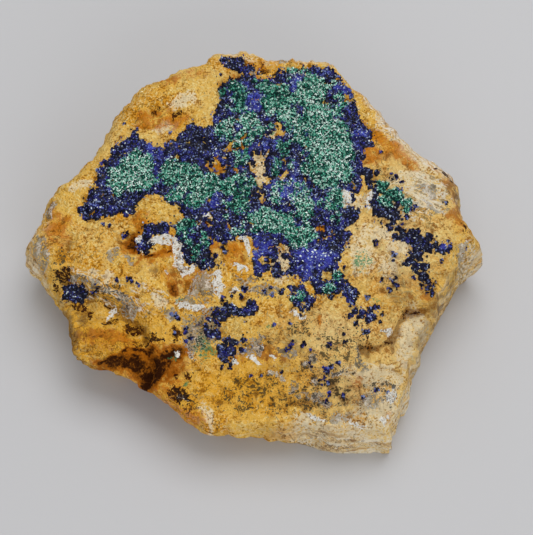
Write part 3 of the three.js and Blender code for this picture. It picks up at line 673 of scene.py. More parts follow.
# What the rock's mesh carries for its finish. Each stain has its blots and how sharply they end.
STAINS = {
    "cream": (CREAM_STAINS, 2), "orange": (ORANGE_STAINS, 1.2), "burnt_and_shadow": (BURNT_STAINS_AND_SHADOWS, 1),
    "brown": (BROWN_STAINS_AND_LIP_SHADOWS, 2), "grey": (GREY_STAINS, 2), "white": (WHITE_STAINS, 2),
    "green": (GREEN_STAINS, 2), "speckled": (SPECKLED, 2), "fair": (FAIR_GROUND, 1),
    "golden": (GOLDEN_GROUND, 1), "dusky_and_shade": (DUSKY_GROUND_AND_SHADE, 1), "pale": (PALE_EDGES, 2),
    "fibrous": (FIBROUS, 2), "striated": (STRIATED, 2),
}
rock_points, rock_faces, rock_wall = rock_shape()
rock_x, rock_y, _ = rock_points.T.copy()
rock_marks = {name: stain(blots, rock_x, rock_y, sharp) for name, (blots, sharp) in STAINS.items()}
rock_marks["wall"] = rock_wall
rock_marks["streak"] = edge_streaks(*rock_points.T)
# Painted shade: the face is darkened where it lies under its own average, in its hollows.
rock_marks["hollow_shade"] = field_at(hollows(), rock_x, rock_y) * (1 - rock_wall)
rock_marks["bed"] = lattice_noise(np.rint(beds(rock_x, rock_y)) * 1.37, rock_x / 12, rock_y / 12, 53)

# Stains of the upper face end on its rounded border, and the burnt blots and painted shadows are fainter on
# the wall.
for name in ("brown", "grey", "white", "green", "speckled"):
    rock_marks[name] *= np.clip(2.2 - 2.2 * rock_wall, 0, 1)
rock_marks["burnt_and_shadow"] *= np.clip(2.0 - 1.4 * rock_wall, 0, 1)
rock_points[:, 2] += 0.45 * rock_marks["white"] * (1 - rock_wall)
add_piece("rock", rock_points, rock_faces, sum(len(part) for part in rock_faces), rock_marks, rock_finish(),
          ["matrix"])

# The malachite crusts: green copper carbonate that grew on the rock as close-set tufts of fine needles.
# Each crust is a skin of round knobs, under 1 mm high, with needles standing out of it all over; their tips
# are painted paler, a painted highlight.
# The knobs, needles and rock grew together, so nothing else holds them.
MALACHITE = {
    "malachite_left": [
        (-34.9, 13.6), (-34.2, 16.2), (-32.1, 18.5), (-28.8, 20.8), (-25.9, 19.9), (-24.1, 17.6),
        (-23.4, 15.3), (-24.4, 12.6), (-28.1, 10.4), (-31.5, 10.1), (-34, 11.4),
    ],
    "malachite_middle": [
        (-21.5, 16.5), (-21.2, 18.5), (-19.1, 19.9), (-15.4, 19.4), (-12.4, 18.1), (-11.5, 15.6),
        (-7.3, 14.6), (-2.7, 14.8), (-0.7, 12.7), (-0.9, 9.1), (-3, 7.1), (-5.5, 7.8), (-6, 10.4),
        (-8.9, 11.8), (-11.4, 8.7), (-13, 6.8), (-15.6, 7.8), (-18.5, 9.9), (-21, 12.2), (-22.2, 14),
    ],
    "malachite_upper": [
        (1, 39.1), (9.4, 39.1), (10.3, 41.8), (12.9, 42.2), (17, 42), (18.8, 40.8), (19.4, 39.1),
        (18.6, 35.9), (18.2, 32.2), (19.4, 30.2), (22.2, 28.4), (24, 25.7), (24, 22.1), (24.2, 16.7),
        (22.6, 14.9), (19.1, 12.7), (15.7, 12.2), (12.9, 16.2), (11.7, 18), (13.5, 21.7), (12.6, 23),
        (10, 24.5), (9.6, 27.6), (8, 30), (1.6, 31.8), (2, 35),
    ],
    "malachite_band": [(-9.1, 28.5), (-7, 30.1), (3, 30.6), (5, 28.4), (1, 25.5), (-3, 26), (-8.3, 24.9)],
    "malachite_corner": [(-6.8, 38), (-4, 38.5), (-1.9, 36), (-2.3, 33.5), (-5, 33), (-6.3, 35)],
    "malachite_lower": [
        (-9.3, 2.6), (-6, 4), (-2.5, 3.2), (0, 4.6), (2, 6.9), (4.1, 7.8), (5.3, 6), (9.6, 6.5),
        (11.7, 9.6), (13.7, 7.8), (14.6, 5.6), (13.6, 2.4), (15.6, 0.4), (15, -1.2), (13.6, -2.8),
        (11.1, -3.9), (9.1, -1.9), (8.3, 0.3), (5.4, -0.1), (2.8, 1.2), (0, 1.8), (-4, 1),
    ],
    "malachite_right": [(31, 13.6), (33.5, 13), (36.6, 10.4), (36.8, 7.6), (33.6, 6.6), (31.2, 9.4)],
}

# Turned ellipses: paler and darker needles, zones where both minerals are mixed, and islands of azurite.
PALE_MALACHITE = [
    (9, 31.5, 4.5, 2.6, 0), (16, 30, 3, 4, 0), (-30, 14, 3.5, 4, 0), (-5, 28, 4, 1.6, 0), (20, 19, 3, 4, 0),
    (10, 12, 5, 5, 0), (-4, 3, 5, 2, 0),
]
DARK_MALACHITE = [
    (-3.4, 11, 3, 4, 0), (5, 36.4, 4, 2.4, 0), (8, 20.5, 4.5, 3.5, 0), (-15, -0.5, 4, 6, 0),
    (33.5, 10, 3, 3.4, 0), (-4.4, 36, 2.4, 2.4, 0),
]
MIXED = [
    (8.5, 20, 5, 5, 0), (8.5, 11, 5, 4, 0), (18.5, 7.6, 4, 4, 0), (-3.4, 11, 4.5, 5, 0),
    (-16.4, 1.4, 2.4, 2.8, 0), (-12.6, -1.6, 2, 2.6, 0), (-10.6, -6.2, 1.2, 1.4, 0),
    (-4.4, 36, 3.4, 3.4, 0), (-1.5, 27.5, 8, 4, 0), (3, 36.5, 4, 4, 0), (33.5, 10.4, 4, 4, 0),
    (-18, 11, 5, 2.4, -30), (-2.8, 19, 3, 3, 0), (11, 2.6, 2.4, 1.6, 0), (-4, 2.6, 6, 2, 0),
    (21, 13.4, 3, 2, 0), (11.2, -15, 1.6, 3, 0), (18.4, -12.4, 1.4, 2, 0), (20.4, 33, 1.6, 5, 0),
    (12, 41, 2.5, 3, 0),
]
AZURITE_ISLANDS = [
    (10.4, 39.6, 1.6, 2.8, 0), (11.6, 32.2, 1.8, 1.9, 0), (-20.4, 12.4, 1.6, 1, 20), (-15, 15, 0.6, 0.6, 0),
    (17, 43, 3.4, 1.3, 0), (-1.4, 35.6, 1.4, 1.4, 0), (-6.8, 37.6, 1.2, 1.4, 0), (13, 27, 0.8, 1, 0),
]

KNOB_PITCH = 0.85
KNOB_REACH = (0.55, 0.9)
KNOB_RISE = (0.3, 0.8)
TUFT_PITCH = 0.38
TUFT_SHARE = 0.9
NEEDLES = 5
NEEDLE_THICKNESS = (0.09, 0.2)
NEEDLE_LENGTH = (0.25, 0.7)
NEEDLE_LEAN = 0.7
SKIN = 0.03
SKIN_DIP = 0.3
SKIN_DEPTH = 0.6
INTERGROWN = 2.6


def shaken_grid(pitch, random):
    """Places on a square grid over the whole face, each moved by up to half the pitch either way."""
    x, y = np.meshgrid(np.arange(*SPAN_X, pitch), np.arange(*SPAN_Y, pitch))
    shift_x = pitch * (random.random(x.size) - 0.5)
    shift_y = pitch * (random.random(x.size) - 0.5)
    return x.ravel() + shift_x, y.ravel() + shift_y


def dome_field(x, y, reach, rise):
    """Domes on the field's grid: near each, the larger of what is there and its rise times one less the
    square of distance over reach."""
    field = np.zeros(rock_field.shape)
    span = np.arange(-5, 6)
    col = np.rint((x - FIELD_X[0]) / CELL).astype(int)[:, None, None] + span[None, None, :]
    row = np.rint((y - FIELD_Y[0]) / CELL).astype(int)[:, None, None] + span[None, :, None]
    row, col = np.broadcast_arrays(row, col)
    far = np.hypot(FIELD_X[0] + CELL * col - x[:, None, None], FIELD_Y[0] + CELL * row - y[:, None, None])
    dome = rise[:, None, None] * np.clip(1 - (far / reach[:, None, None]) ** 2, 0, None)
    np.maximum.at(field, (row, col), dome)
    return field


def crust_skin(field):
    """A closed skin: its top is the rock plus the domes, dipping under the rock at its border, where a wall
    meets a bottom that lies down in the rock."""
    quads = grid_quads(np.arange(field.size).reshape(field.shape))
    quads = quads[(field.ravel()[quads] > 0).any(axis=1)]
    used, quads = np.unique(quads, return_inverse=True)
    quads = quads.reshape(-1, 4)
    x, y = np.meshgrid(FIELD_X, FIELD_Y)
    x, y, rock, dome = [part.ravel()[used] for part in (x, y, rock_field, field)]
    top = np.stack([x, y, rock + np.where(dome > 0, SKIN + dome, -SKIN_DIP)], axis=1)
    bottom = np.stack([x, y, rock - SKIN_DEPTH], axis=1)
    start, end = quads.ravel(), np.roll(quads, -1, axis=1).ravel()
    rim = ~np.isin(start * len(used) + end, end * len(used) + start)
    start, end = start[rim], end[rim]
    wall = np.stack([start, start + len(used), end + len(used), end], axis=1)
    return np.concatenate([top, bottom]), np.concatenate([quads, quads[:, ::-1] + len(used), wall])


def unit(way):
    """Directions brought to a length of 1."""
    return way / np.linalg.norm(way, axis=1, keepdims=True)


def growth(field, x, y, spread, random):
    """Where crystals stand on a skin, and which way: square to rock plus domes, with a random lean."""
    slope_y, slope_x = np.gradient(rock_field + field, CELL)
    lean_x, lean_y = [-field_at(slope, x, y).clip(-1.2, 1.2) for slope in (slope_x, slope_y)]
    way = np.stack([lean_x, lean_y, np.ones(len(x))], axis=1)
    way = unit(way) + spread * random.normal(size=way.shape)
    root = np.stack([x, y, field_at(rock_field + field, x, y) + SKIN], axis=1)
    return root, unit(way)


def sides_of(way):
    """Two directions square to each other and to each given one."""
    first = unit(np.cross(way, (0.36, 0.8, 0.48)))
    return first, np.cross(way, first)


def needles(root, way, random):
    """Three-sided points: three corners round the root and one at the tip, leaning apart within each tuft."""
    root = np.repeat(root, NEEDLES, axis=0)
    way = unit(np.repeat(way, NEEDLES, axis=0) + NEEDLE_LEAN * random.normal(size=(len(root), 3)))
    first, second = sides_of(way)
    thick = random.uniform(*NEEDLE_THICKNESS, (len(root), 1))
    long = random.uniform(*NEEDLE_LENGTH, (len(root), 1))
    turns = [(math.cos(turn), math.sin(turn)) for turn in (0, 2 * math.pi / 3, 4 * math.pi / 3)]
    corners = [root - 0.1 * way + thick * (cos * first + sin * second) for cos, sin in turns]
    points = np.stack([*corners, root + long * way], axis=1).reshape(-1, 3)
    faces = np.array([(0, 1, 3), (1, 2, 3), (2, 0, 3), (0, 2, 1)])
    return points, (4 * np.arange(len(root))[:, None, None] + faces).reshape(-1, 3)


def malachite_finish():
    """Dark green between the needles, then mid green, pale mint and near white, by needle and by zone. The
    paler tips and the near-white needles are partly painted highlight in place of glints.
    """
    material, shader, start = start_finish("malachite", 0.45, 0.15)
    tint, tip, zone = [mark(start, name) for name in ("tint", "tip", "zone")]
    # The tips are painted a little paler: a painted highlight.
    light = tip * 0.1 + tint + zone * 0.26
    green = blend(fade(light, 0.08, 0.4), paint(4, 48, 44), paint(70, 174, 144))
    colour = coat(green, [
        (fade(light, 0.4, 0.74), paint(160, 230, 208)),
        # Near-white needles: pale malachite, partly painted highlight in place of glints.
        (fade(light, 0.72, 0.95), paint(244, 255, 250)),
    ])
    colour.feed(shader, "Base Color")
    return material


malachite_material = malachite_finish()


def malachite_crust(name, x, y, reach, rise, random, nodes):
    """A skin of knobs with a needle tuft at most places of a fine shaken grid that lie on it."""
    field = dome_field(x, y, reach, rise)
    skin, quads = crust_skin(field)
    tuft_x, tuft_y = shaken_grid(TUFT_PITCH, random)
    on = (field_at(field, tuft_x, tuft_y) > 0.04) & (random.random(len(tuft_x)) < TUFT_SHARE)
    root, way = growth(field, tuft_x[on], tuft_y[on], 0.2, random)
    points, faces = needles(root, way, random)
    whole = np.concatenate([skin, points])
    clump = lattice_noise(*root[:, :2].T / 0.7, 0, 25) - 0.5
    tuft_shade = random.random(len(root)) + 0.5 * clump
    shade = np.repeat(tuft_shade, NEEDLES) + 0.15 * random.normal(size=len(root) * NEEDLES)
    tint = np.concatenate([np.full(len(skin), 0.08), np.repeat(shade, 4)])
    tip = np.concatenate([np.zeros(len(skin)), np.tile((0, 0, 0, 1), len(root) * NEEDLES)])
    zone = 0.7 * stain(PALE_MALACHITE, *whole[:, :2].T, 1) - stain(DARK_MALACHITE, *whole[:, :2].T, 1)
    zone[: len(skin)] = 0
    marks = {"tint": tint, "tip": tip, "zone": zone}
    add_piece(name, whole, [quads, faces + len(skin)], len(quads), marks, malachite_material,
              nodes)


def ragged_inside(outline, x, y, rough):
    """Distance inside an outline, with noise that makes its border ragged."""
    noise = lattice_noise(x / 1.7, y / 1.7, 0, 21) + 0.6 * lattice_noise(x / 0.8, y / 0.8, 0, 22) - 0.8
    return inside_distance(outline, x, y) + rough * noise


def mottle(x, y):
    """Noise that says which mineral grew where the two are mixed: about a half and above is malachite."""
    return 0.6 * lattice_noise(x / 1.9, y / 1.9, 0, 23) + 0.4 * lattice_noise(x / 0.8, y / 0.8, 0, 24)


def malachite_cover(outline, x, y):
    """Cover of a malachite crust, in millimetres from its border: inside its outline, outside the azurite
    islands, and in the mixed zones only where the mottle is high."""
    grown = np.minimum(mottle(x, y) - 0.49 * stain(MIXED, x, y), 0.4 - stain(AZURITE_ISLANDS, x, y))
    return np.minimum(ragged_inside(outline, x, y, INTERGROWN) - 0.2, 5 * grown)


for number, (name, outline) in enumerate(MALACHITE.items()):
    random = np.random.default_rng(80 + number)
    x, y = shaken_grid(KNOB_PITCH, random)
    on = malachite_cover(outline, x, y) > 0
    x, y = x[on], y[on]
    reach = random.uniform(*KNOB_REACH, len(x))
    rise = random.uniform(*KNOB_RISE, len(x))
    malachite_crust(name + "_crust", x, y, reach, rise, random, [name])

# The azurite crusts: deep blue copper carbonate, a drusy skin of small flat-faced crystals grown on the rock.
# The main crust surrounds the malachite, and smaller patches stand apart from it on the rock.
# Each is a skin of close-set grains, with a tablet-shaped crystal at every place of a fine grid on it.
AZURITE_MAIN = [
    (-41.5, 7.1), (-39.1, 11.1), (-36.6, 11.3), (-37.1, 14.9), (-34.9, 20.8), (-32.3, 24.2), (-28.9, 26.3),
    (-27.2, 23.5), (-22, 22.2), (-20.4, 24), (-16.8, 26), (-14.9, 28.5), (-11.6, 27.6), (-9.3, 30.8),
    (-7.8, 35), (-8.6, 39.3), (-4.3, 41.5), (4.8, 43.5), (12.8, 44.2), (18, 44.6), (21.8, 42), (24, 38.8),
    (26.2, 34.8), (25.6, 31.6), (27.2, 29.7), (29.2, 27.1), (29.8, 22.6), (26.9, 23.4), (26.4, 19.4),
    (26.2, 16.5), (25.8, 12.7), (24.6, 11), (22.8, 7.4), (25.5, 5.4), (22.6, 2.5), (24, 0.6), (21.9, -2.7),
    (20.4, -7), (22.5, -11), (25, -14.5), (23.2, -17.5), (20, -14.8), (15.6, -13.6), (13.7, -10.5),
    (7.1, -9.7), (2.8, -9.9), (0.4, -9), (0.5, -2), (-1, 0.2), (-4, -0.2), (-8, -0.5), (-10.5, 1),
    (-10.8, -4), (-7.3, -8.8), (-13, -7), (-17, -5.6), (-16.5, -2), (-18.5, -0.5), (-18.3, 2.3), (-16, 4.8),
    (-18, 6.3), (-20.5, 9.3), (-24, 10.8), (-28, 8.3), (-30.5, 6.2), (-34.5, 5), (-39.5, 5),
]

# Openings of the main crust where the rock shows.
BARE_WINDOWS = [
    [(-0.4, 17.4), (-0.1, 20.4), (1.4, 22), (3.2, 19.2), (3, 17.2), (4.6, 16), (4.4, 13.6), (2.6, 12),
     (0.9, 14.2)],
    [(-11.4, 18.6), (-9, 20.6), (-6.2, 20.2), (-6.4, 17.6), (-8.6, 16.6), (-10.8, 17)],
    [(-5.4, 18.2), (-4, 18.6), (-2.6, 17), (-3, 16.2), (-4.8, 16.8)],
    [(14.8, 3), (18.6, 3), (19.4, 0.6), (17.6, -0.8), (16.4, 1.2)],
    [(0.4, 11.6), (2.8, 11.8), (3, 10.6), (1.6, 10.2)],
    [(2, 9.6), (3.2, 9.2), (2.8, 8), (1.8, 8.4)],
    [(5.2, 15.4), (8.6, 16.6), (8.8, 15.8), (6.4, 15)],
    [(-7.6, 22.6), (-5.6, 24.6), (-2.6, 26), (-0.4, 25.2), (-1.4, 22.6), (-4, 21.6)],
    [(2.6, 26), (4, 28.6), (6.8, 28.8), (7, 26.6), (4.6, 25.6)],
    [(0.4, 41.4), (1, 43.6), (5.4, 43.8), (5.8, 42), (3, 41.2)],
    [(6.4, -1.2), (8, -2.6), (9.2, -5.2), (8.4, -8.8), (7, -8.6), (6.6, -5)],
    [(2.6, -5.2), (4.4, -5.6), (4.6, -9.6), (3, -9.6)],
    [(-12.4, 4.6), (-10.4, 4.4), (-9.8, 2.6), (-12.8, 2.6)],
    [(20.4, 11), (22.4, 11.4), (23.6, 8.6), (22.2, 7.4), (20.8, 8.8)],
    [(16.8, -9), (18.6, -9.2), (18.2, -10.6), (16.6, -10.4)],
]

# The patches, and how much of a patch is covered where it is not the whole.
AZURITE_PATCHES = {
    "azurite_crown": [
        (-7.6, 44.8), (-7.4, 46.6), (-2.6, 46.4), (-0.2, 44.8), (0.6, 43), (-2.6, 42.4), (-5, 43.6),
    ],
    "azurite_right_upper": [
        (26.8, 17.6), (29.6, 17.6), (30.6, 14), (30.4, 9.5), (32.5, 7.2), (36, 7.6), (36.7, 4.6), (31.2, 5),
        (29, 5), (28.3, 8), (28.8, 11.5), (27.3, 14.5),
    ],
    "azurite_right_band": [
        (31.7, 3.2), (34, 3.3), (36.8, 1.8), (41, 1.2), (44, -0.4), (47.5, -1.5), (47.3, -4.5), (45, -4.8),
        (43.5, -3), (41.8, -5), (42.3, -9), (42.5, -14), (40.5, -13), (39.5, -9.5), (37, -7.5), (37.5, -3),
        (36, -0.5), (33, 1),
    ],
    "azurite_rosette": [
        (8.2, -13.4), (10.4, -11.6), (13, -12.4), (14.6, -16.6), (12.6, -18.8), (9.4, -17.8),
    ],
    "azurite_cluster": [
        (22.6, -19.2), (24.6, -18.6), (26.4, -19.4), (29.8, -17.2), (30, -18.4), (27.4, -20.8), (26.6, -23),
        (24.4, -22.6), (22.6, -21),
    ],
    "azurite_vein": [
        (-10.5, -19), (-8, -17.3), (-3, -17.8), (0, -16.5), (1.8, -17), (1, -18.6), (-1.5, -20.6),
        (-7, -20.4), (-10, -20.4),
    ],
    "azurite_low": [
        (-12.6, -21.4), (-10.2, -21), (-7.4, -23.4), (-7, -25.2), (-1.4, -26), (-1.8, -28.4), (-4.6, -29.4),
        (-5, -32), (-7.6, -30.4), (-7.6, -26.8), (-10, -25),
    ],
    "azurite_foot": [
        (-45.3, -11), (-42.5, -10.8), (-39.2, -11.9), (-38.8, -13.9), (-42.3, -14.6), (-44.8, -14.5),
    ],
    "azurite_ledge": [
        (-27.4, -2.4), (-27.2, -1), (-26, -0.4), (-26.2, 0.6), (-27.4, 1.4), (-26.4, 3), (-24.4, 3.2),
        (-22.8, 2.2), (-21.6, 3.2), (-19.4, 2.8), (-19.6, 0.2), (-21.4, -0.2), (-22.6, 0.8), (-24.2, 0.2),
        (-24.8, -0.4), (-23.4, -1.6), (-23.6, -3), (-25.6, -3.8),
    ],
}
PATCH_COVER = {
    "azurite_right_upper": 0.62, "azurite_right_band": 0.6, "azurite_rosette": 0.6, "azurite_cluster": 0.56,
    "azurite_vein": 0.62, "azurite_low": 0.55, "azurite_ledge": 0.7,
}

# Turned ellipses: brighter and darker crystals.
BRIGHT_AZURITE = [
    (15, -5.6, 5.5, 3.6, 0), (2.4, -3, 2, 3.4, 0), (-10, 9.4, 2.4, 2.8, 0), (2.4, 23.4, 2.8, 1.6, 0),
    (-0.5, 34, 2.5, 2, 0), (10.8, 39.8, 1.4, 2.6, 0), (22, 38, 1.6, 2.4, 0), (-24.5, 22, 3, 1, 0),
    (27, 26.6, 2, 2, 0), (8, 12, 4, 3, 0), (46, -3, 1.5, 1.2, 0),
]
DARK_AZURITE = [
    (29.4, 13, 2, 5, 0), (37, 0.6, 4, 2.2, -20), (-13, 24, 3, 1.6, 0), (-4.2, 45, 3, 1.6, -20),
    (-42, -12.6, 3.4, 2, 0), (-7, 38.4, 1.6, 2.6, 0), (33, 6.4, 4, 2, 0), (41, -6, 3.6, 8, 0),
    (30.6, 9, 2.4, 6, 0), (-12, -5, 3, 3, 0),
]

GRAIN_PITCH = 0.55
GRAIN_REACH = (0.42, 0.6)
GRAIN_RISE = (0.25, 0.6)
CRYSTAL_PITCH = 0.41
CRYSTAL_SIZE = 0.2
CRYSTAL_LEAN = 0.4
CRYSTAL_POINTS = 8
STRAY = 0.9


def tablets(root, way, size, random):
    """Tablet crystals: a flattened four-sided foot and a smaller, slanting head, turned and leaned on its
    root."""
    count = len(root)
    first, second = sides_of(way)
    turn = random.uniform(0, math.pi, (count, 1))
    first, second = np.cos(turn) * first + np.sin(turn) * second, np.cos(turn) * second - np.sin(turn) * first
    wide = size * random.uniform(0.5, 1.1, (count, 1))
    thin = wide * random.uniform(0.5, 0.95, (count, 1))
    tall = wide * random.uniform(0.5, 1.6, (count, 1))
    head = random.uniform(0.5, 0.85, (count, 1))
    slant = random.uniform(-0.5, 0.5, (count, 2)) * wide
    corners = ((-1, -1), (1, -1), (1, 1), (-1, 1))
    points = [root + (u * wide * first + v * thin * second) - 0.25 * way for u, v in corners]
    for u, v in corners:
        lift = tall + u * slant[:, :1] + v * slant[:, 1:]
        points.append(root + head * (u * wide * first + v * thin * second) + lift * way)
    faces = np.array([(0, 1, 5, 4), (1, 2, 6, 5), (2, 3, 7, 6), (3, 0, 4, 7), (4, 5, 6, 7), (3, 2, 1, 0)])
    faces = CRYSTAL_POINTS * np.arange(count)[:, None, None] + faces
    return np.stack(points, axis=1).reshape(-1, 3), faces.reshape(-1, 4)


def azurite_finish():
    """Near-black, navy and bright blue, with some grey-blue crystals and a few white ones, each with its own
    tint, brighter or darker by zone. The grey-blue and white crystals are partly pale grains and partly
    painted highlight in place of glints."""
    material, shader, start = start_finish("azurite", 0.35, 0.2)
    small = grain(start, start.node("ShaderNodeTexCoord", {}, {}, "Object"), 1.6)
    tint, zone = [mark(start, name) for name in ("tint", "zone")]
    light = tint * 0.8 + zone * 0.25 + small * 0.24 + 0.02
    # Grey-blue and white crystals: partly pale grains, partly painted highlight in place of glints.
    glint_and_pale_grain = tint + small * 0.1 + zone * 0.06
    navy = blend(fade(light, 0.1, 0.5), paint(6, 6, 30), paint(54, 58, 156))
    colour = coat(navy, [
        (fade(light, 0.45, 0.85), paint(108, 130, 226)),
        (fade(glint_and_pale_grain, 0.6, 0.78) * 0.75, paint(130, 146, 178)),
        (fade(glint_and_pale_grain, 0.92, 0.98) * 0.95, paint(232, 242, 240)),
    ])
    colour.feed(shader, "Base Color")
    return material


azurite_material = azurite_finish()


def azurite_crust(name, cover, random, nodes):
    """A skin of grains where the cover is above 0, in millimetres from its border, lower towards it, and a
    tablet crystal at every place of a fine shaken grid on it, with a few that stray past the border."""
    x, y = shaken_grid(GRAIN_PITCH, random)
    amount = cover(x, y)
    on = amount > 0.1
    rise = random.uniform(*GRAIN_RISE, on.sum()) * np.clip(amount[on], 0.25, 1)
    field = dome_field(x[on], y[on], random.uniform(*GRAIN_REACH, on.sum()), rise)
    skin, quads = crust_skin(field)
    x, y = shaken_grid(CRYSTAL_PITCH, random)
    amount = cover(x, y)
    on = amount > STRAY * (0.05 - 1.2 * random.random(len(x)) ** 4)
    root, way = growth(field, x[on], y[on], CRYSTAL_LEAN, random)
    points, faces = tablets(root, way, CRYSTAL_SIZE, random)
    whole = np.concatenate([skin, points])
    tint = np.concatenate([np.full(len(skin), 0.1), np.repeat(random.random(len(root)), CRYSTAL_POINTS)])
    zone = stain(BRIGHT_AZURITE, *whole[:, :2].T) - stain(DARK_AZURITE, *whole[:, :2].T)
    zone[len(skin):] -= np.repeat(amount[on] < 0.3, CRYSTAL_POINTS)
    marks = {"tint": tint, "zone": zone}
    add_piece(name, whole, [quads, faces + len(skin)], len(quads), marks, azurite_material, nodes)


def main_cover(x, y):
    """Cover of the main crust: inside its outline, outside the malachite and the windows, broken by pinholes,
    and whole on the islands."""
    cover = ragged_inside(AZURITE_MAIN, x, y, 1.8)
    for outline in MALACHITE.values():
        cover = np.minimum(cover, 0.2 - malachite_cover(outline, x, y))
    pinholes = 0.6 * lattice_noise(x / 1.3, y / 1.3, 0, 43) + 0.4 * lattice_noise(x / 0.6, y / 0.6, 0, 44)
    for outline in BARE_WINDOWS:
        cover = np.minimum(cover, np.maximum(-0.4 - ragged_inside(outline, x, y, 1.4), 4 * (pinholes - 0.68)))
    cover = np.minimum(cover, 4 * (pinholes - 0.28))
    return np.maximum(cover, 3 * (stain(AZURITE_ISLANDS, x, y) - 0.45))


def patch_cover(outline, share):
    """Cover of a patch: inside its outline, and where noise lies below the share of it that is covered."""
    def cover(x, y):
        """The cover at a place, in millimetres from the border."""
        ground = 0.45 * lattice_noise(x / 1.7, y / 1.7, 0, 41) + 0.55 * lattice_noise(x / 0.7, y / 0.7, 0, 42)
        return np.minimum(ragged_inside(outline, x, y, 2.2), 5 * (share - ground))
    return cover


azurite_crust("azurite_main_crust", main_cover, np.random.default_rng(11), ["azurite_main"])
for number, (name, outline) in enumerate(AZURITE_PATCHES.items()):
    cover = patch_cover(outline, PATCH_COVER.get(name, 1))
    azurite_crust(name + "_crust", cover, np.random.default_rng(40 + number), [name])

# The single grains: azurite specks on the bare rock, and malachite flecks that grew among the blue crystals.
# The minerals are those of the crusts. A speck is a small group of tablets, a fleck a knob with needles.
# Each grew where it stands, with its root in the rock or in the crust. A speck has x, y and size.
SPECKS = [
    (29.7, -1.6, 0.7), (33.8, -4.2, 0.5), (33.7, -6, 0.35), (33.9, -10.9, 0.8), (34.4, -12.2, 0.7),
    (32.8, -13.2, 0.7), (30.8, -11.3, 0.4), (27.2, -15, 0.6), (22, -7.6, 0.35), (46.6, 7.7, 0.5),
    (39.2, 6.8, 0.7), (38.2, 6.9, 0.4), (35.8, 11.6, 0.7), (36.2, 13.4, 0.45), (41.5, -13.8, 0.7),
    (42.6, -14.2, 0.5), (40.2, -12.6, 0.6), (28.3, -17.9, 0.5), (30.8, -19.1, 0.35), (30.4, -21, 0.4),
    (24, -17.2, 0.8), (26.9, -23.6, 0.3), (21.5, -24.2, 0.4), (22, -26, 0.5), (18.2, -26.8, 0.9),
    (12.3, -27.4, 0.9), (9.3, -27, 0.8), (8, -28.4, 0.55), (13.7, -31.8, 0.5), (17.5, -33, 1.1),
    (18.6, -32, 0.5), (16.4, -35.2, 0.8), (17.5, -35.8, 0.7), (20.4, -31.3, 0.8), (18.1, -38.7, 0.7),
    (17.3, -40.3, 0.5), (21.3, -39, 0.5), (25.9, -39.2, 0.4), (28.8, -37.8, 0.7), (31.6, -38, 0.6),
    (9, -21.8, 0.4), (5.2, -21.8, 0.5), (11.5, -19.6, 0.5), (-0.4, -35, 0.4), (2.3, -34.7, 0.3),
    (7, -33.7, 0.35), (3, -13.6, 0.5), (5, -14.5, 0.5), (4.2, -12.8, 0.4), (-2, -13.4, 0.8),
    (-1.2, -12.8, 0.6), (-2.6, -15.2, 0.6), (-7, -15.6, 0.6), (-4.8, -15.4, 0.45), (-8, -21.8, 0.6),
    (-18.4, -19.4, 0.9), (-17.5, -20.2, 0.6), (-18.3, -24, 0.5), (-15.6, -23, 0.8), (-14.4, -25, 0.5),
    (-15.6, -26, 0.5), (-7, -32.7, 0.6), (-5, -32.9, 0.45), (-37.8, -13, 0.6), (-36.7, -13.2, 0.5),
    (-32.2, -10.5, 0.5), (-29.4, -10.4, 0.6), (-28.6, -11.2, 0.4), (-27.2, -11.8, 0.5), (-30.9, 1, 0.7),
    (-30.2, 1.2, 0.5), (-35.8, 2.8, 0.45), (-34.3, 2.7, 0.45), (-36.4, 18.2, 0.5), (-37.6, 16.6, 0.6),
    (-28.4, 26.8, 0.5), (-31.6, 29, 0.3), (-20.2, 26.3, 0.35), (-8, 41.4, 0.35), (51.2, -2.5, 0.35),
    (53.3, -3.5, 0.35), (5.8, -7, 0.7), (5.6, -8.6, 0.7), (5.9, -9.8, 0.6), (-9.6, -1.8, 0.5),
    (-8.8, -4.8, 0.6), (-6.8, -1.4, 0.6), (-7, -2.8, 0.6), (-6.6, -4, 0.5), (36, 4, 0.6), (34.8, 15, 0.5),
    (33.6, 16, 0.4), (31.4, 21.6, 0.35), (45.4, -6, 0.4), (38.6, -10.2, 0.6),
]
GRAINS_IN_SPECK = 9
FLECK_PITCH = 0.75
FLECK_REACH = (0.45, 0.75)
FLECK_RISE = (0.5, 0.9)

random = np.random.default_rng(61)
speck_x, speck_y, speck_size = np.repeat(SPECKS, GRAINS_IN_SPECK, axis=0).T
speck_x = speck_x + 0.5 * speck_size * random.normal(size=len(speck_x))
speck_y = speck_y + 0.5 * speck_size * random.normal(size=len(speck_y))
on = np.hypot(speck_x, speck_y) < edge_at(np.arctan2(speck_y, speck_x))[0] - 1
speck_x, speck_y, speck_size = speck_x[on], speck_y[on], speck_size[on]
root, way = growth(np.zeros(rock_field.shape), speck_x, speck_y, CRYSTAL_LEAN, random)
points, faces = tablets(root, way, 0.15 + 0.25 * speck_size[:, None], random)
tint = np.repeat(0.85 * random.random(len(root)), CRYSTAL_POINTS)
marks = {"tint": tint, "zone": np.full(len(points), -0.7)}
add_piece("azurite_specks", points, [faces], 0, marks, azurite_material, [])

random = np.random.default_rng(62)
x, y = shaken_grid(FLECK_PITCH, random)
on = mottle(x, y) > 0.48 + 0.5 * (1 - stain(MIXED, x, y))
blue_outlines = (AZURITE_MAIN, AZURITE_PATCHES["azurite_rosette"])
on &= np.maximum(*[inside_distance(outline, x, y) for outline in blue_outlines]) > 0
for outline in MALACHITE.values():
    on &= malachite_cover(outline, x, y) < 0
x, y = x[on], y[on]
reach = random.uniform(*FLECK_REACH, len(x))
rise = random.uniform(*FLECK_RISE, len(x))
malachite_crust("malachite_flecks", x, y, reach, rise, random, [])

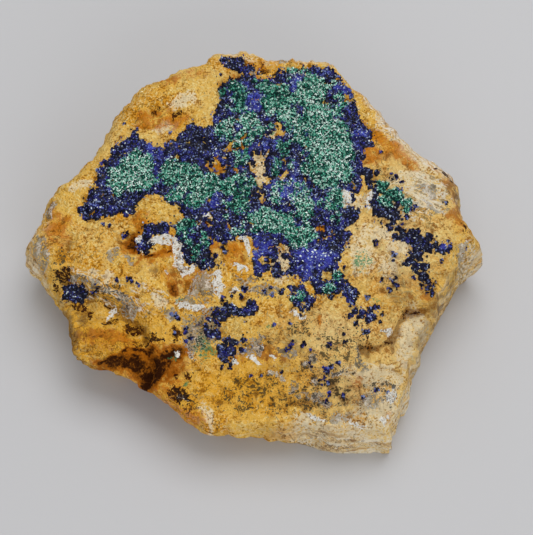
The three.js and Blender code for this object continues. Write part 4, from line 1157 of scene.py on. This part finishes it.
# The stage: a plain pale floor on which the stone lies, under soft studio light.
# A large lamp hangs overhead and behind, a smaller one stands in front, and a white sky lights all round.
FLOOR_REACH = 3.0
floor_mesh = bpy.data.meshes.new("floor")
floor_corners = [(u * FLOOR_REACH, v * FLOOR_REACH, 0) for u, v in ((-1, -1), (1, -1), (1, 1), (-1, 1))]
floor_mesh.from_pydata(floor_corners, [], [(0, 1, 2, 3)])
floor_material, floor_shader, _ = start_finish("floor", 0.8, 0.5)
floor_shader.inputs["Base Color"].default_value = paint(188, 188, 190)
floor_mesh.materials.append(floor_material)
floor = bpy.data.objects.new("floor", floor_mesh)
bpy.context.collection.objects.link(floor)

world = bpy.data.worlds.new("sky")
world.use_nodes = True
world.node_tree.nodes["Background"].inputs["Color"].default_value = (1, 1, 1, 1)
world.node_tree.nodes["Background"].inputs["Strength"].default_value = 0.5
bpy.context.scene.world = world


def soft_lamp(name, place, aim, side, power):
    """A square lamp of this side, turned to face its aim."""
    lamp = bpy.data.lights.new(name, "AREA")
    lamp.size = side
    lamp.energy = power
    holder = bpy.data.objects.new(name, lamp)
    bpy.context.collection.objects.link(holder)
    way = np.subtract(aim, place)
    tilt = math.atan2(math.hypot(way[0], way[1]), -way[2])
    turn = math.atan2(way[1], way[0]) - math.pi / 2
    holder.location = place
    holder.rotation_euler = (tilt, 0, turn)


soft_lamp("overhead", (0.14, 0.36, 0.9), (0, 0, 0), 0.8, 5.8)
soft_lamp("front", (0.2, -0.85, 0.4), (0, 0, 0.01), 0.6, 3.1)

# The camera: it stands in front of the stone and looks down on the upper face at 60 degrees.
# Its long lens keeps the stone's outline nearly free of perspective, as in the photograph.
AIM = (0.0034, -0.0044, 0.012)
CAMERA_DISTANCE = 0.45
CAMERA_RISE = math.radians(60)
camera_data = bpy.data.cameras.new("camera")
camera_data.lens = 124.15
camera_data.sensor_width = 36
camera_data.clip_start = 0.01
camera = bpy.data.objects.new("camera", camera_data)
camera.location = (AIM[0], AIM[1] - CAMERA_DISTANCE * math.cos(CAMERA_RISE),
                   AIM[2] + CAMERA_DISTANCE * math.sin(CAMERA_RISE))
camera.rotation_euler = (math.pi / 2 - CAMERA_RISE, 0, 0)
bpy.context.collection.objects.link(camera)
bpy.context.scene.camera = camera
bpy.context.scene.view_settings.view_transform = "Standard"
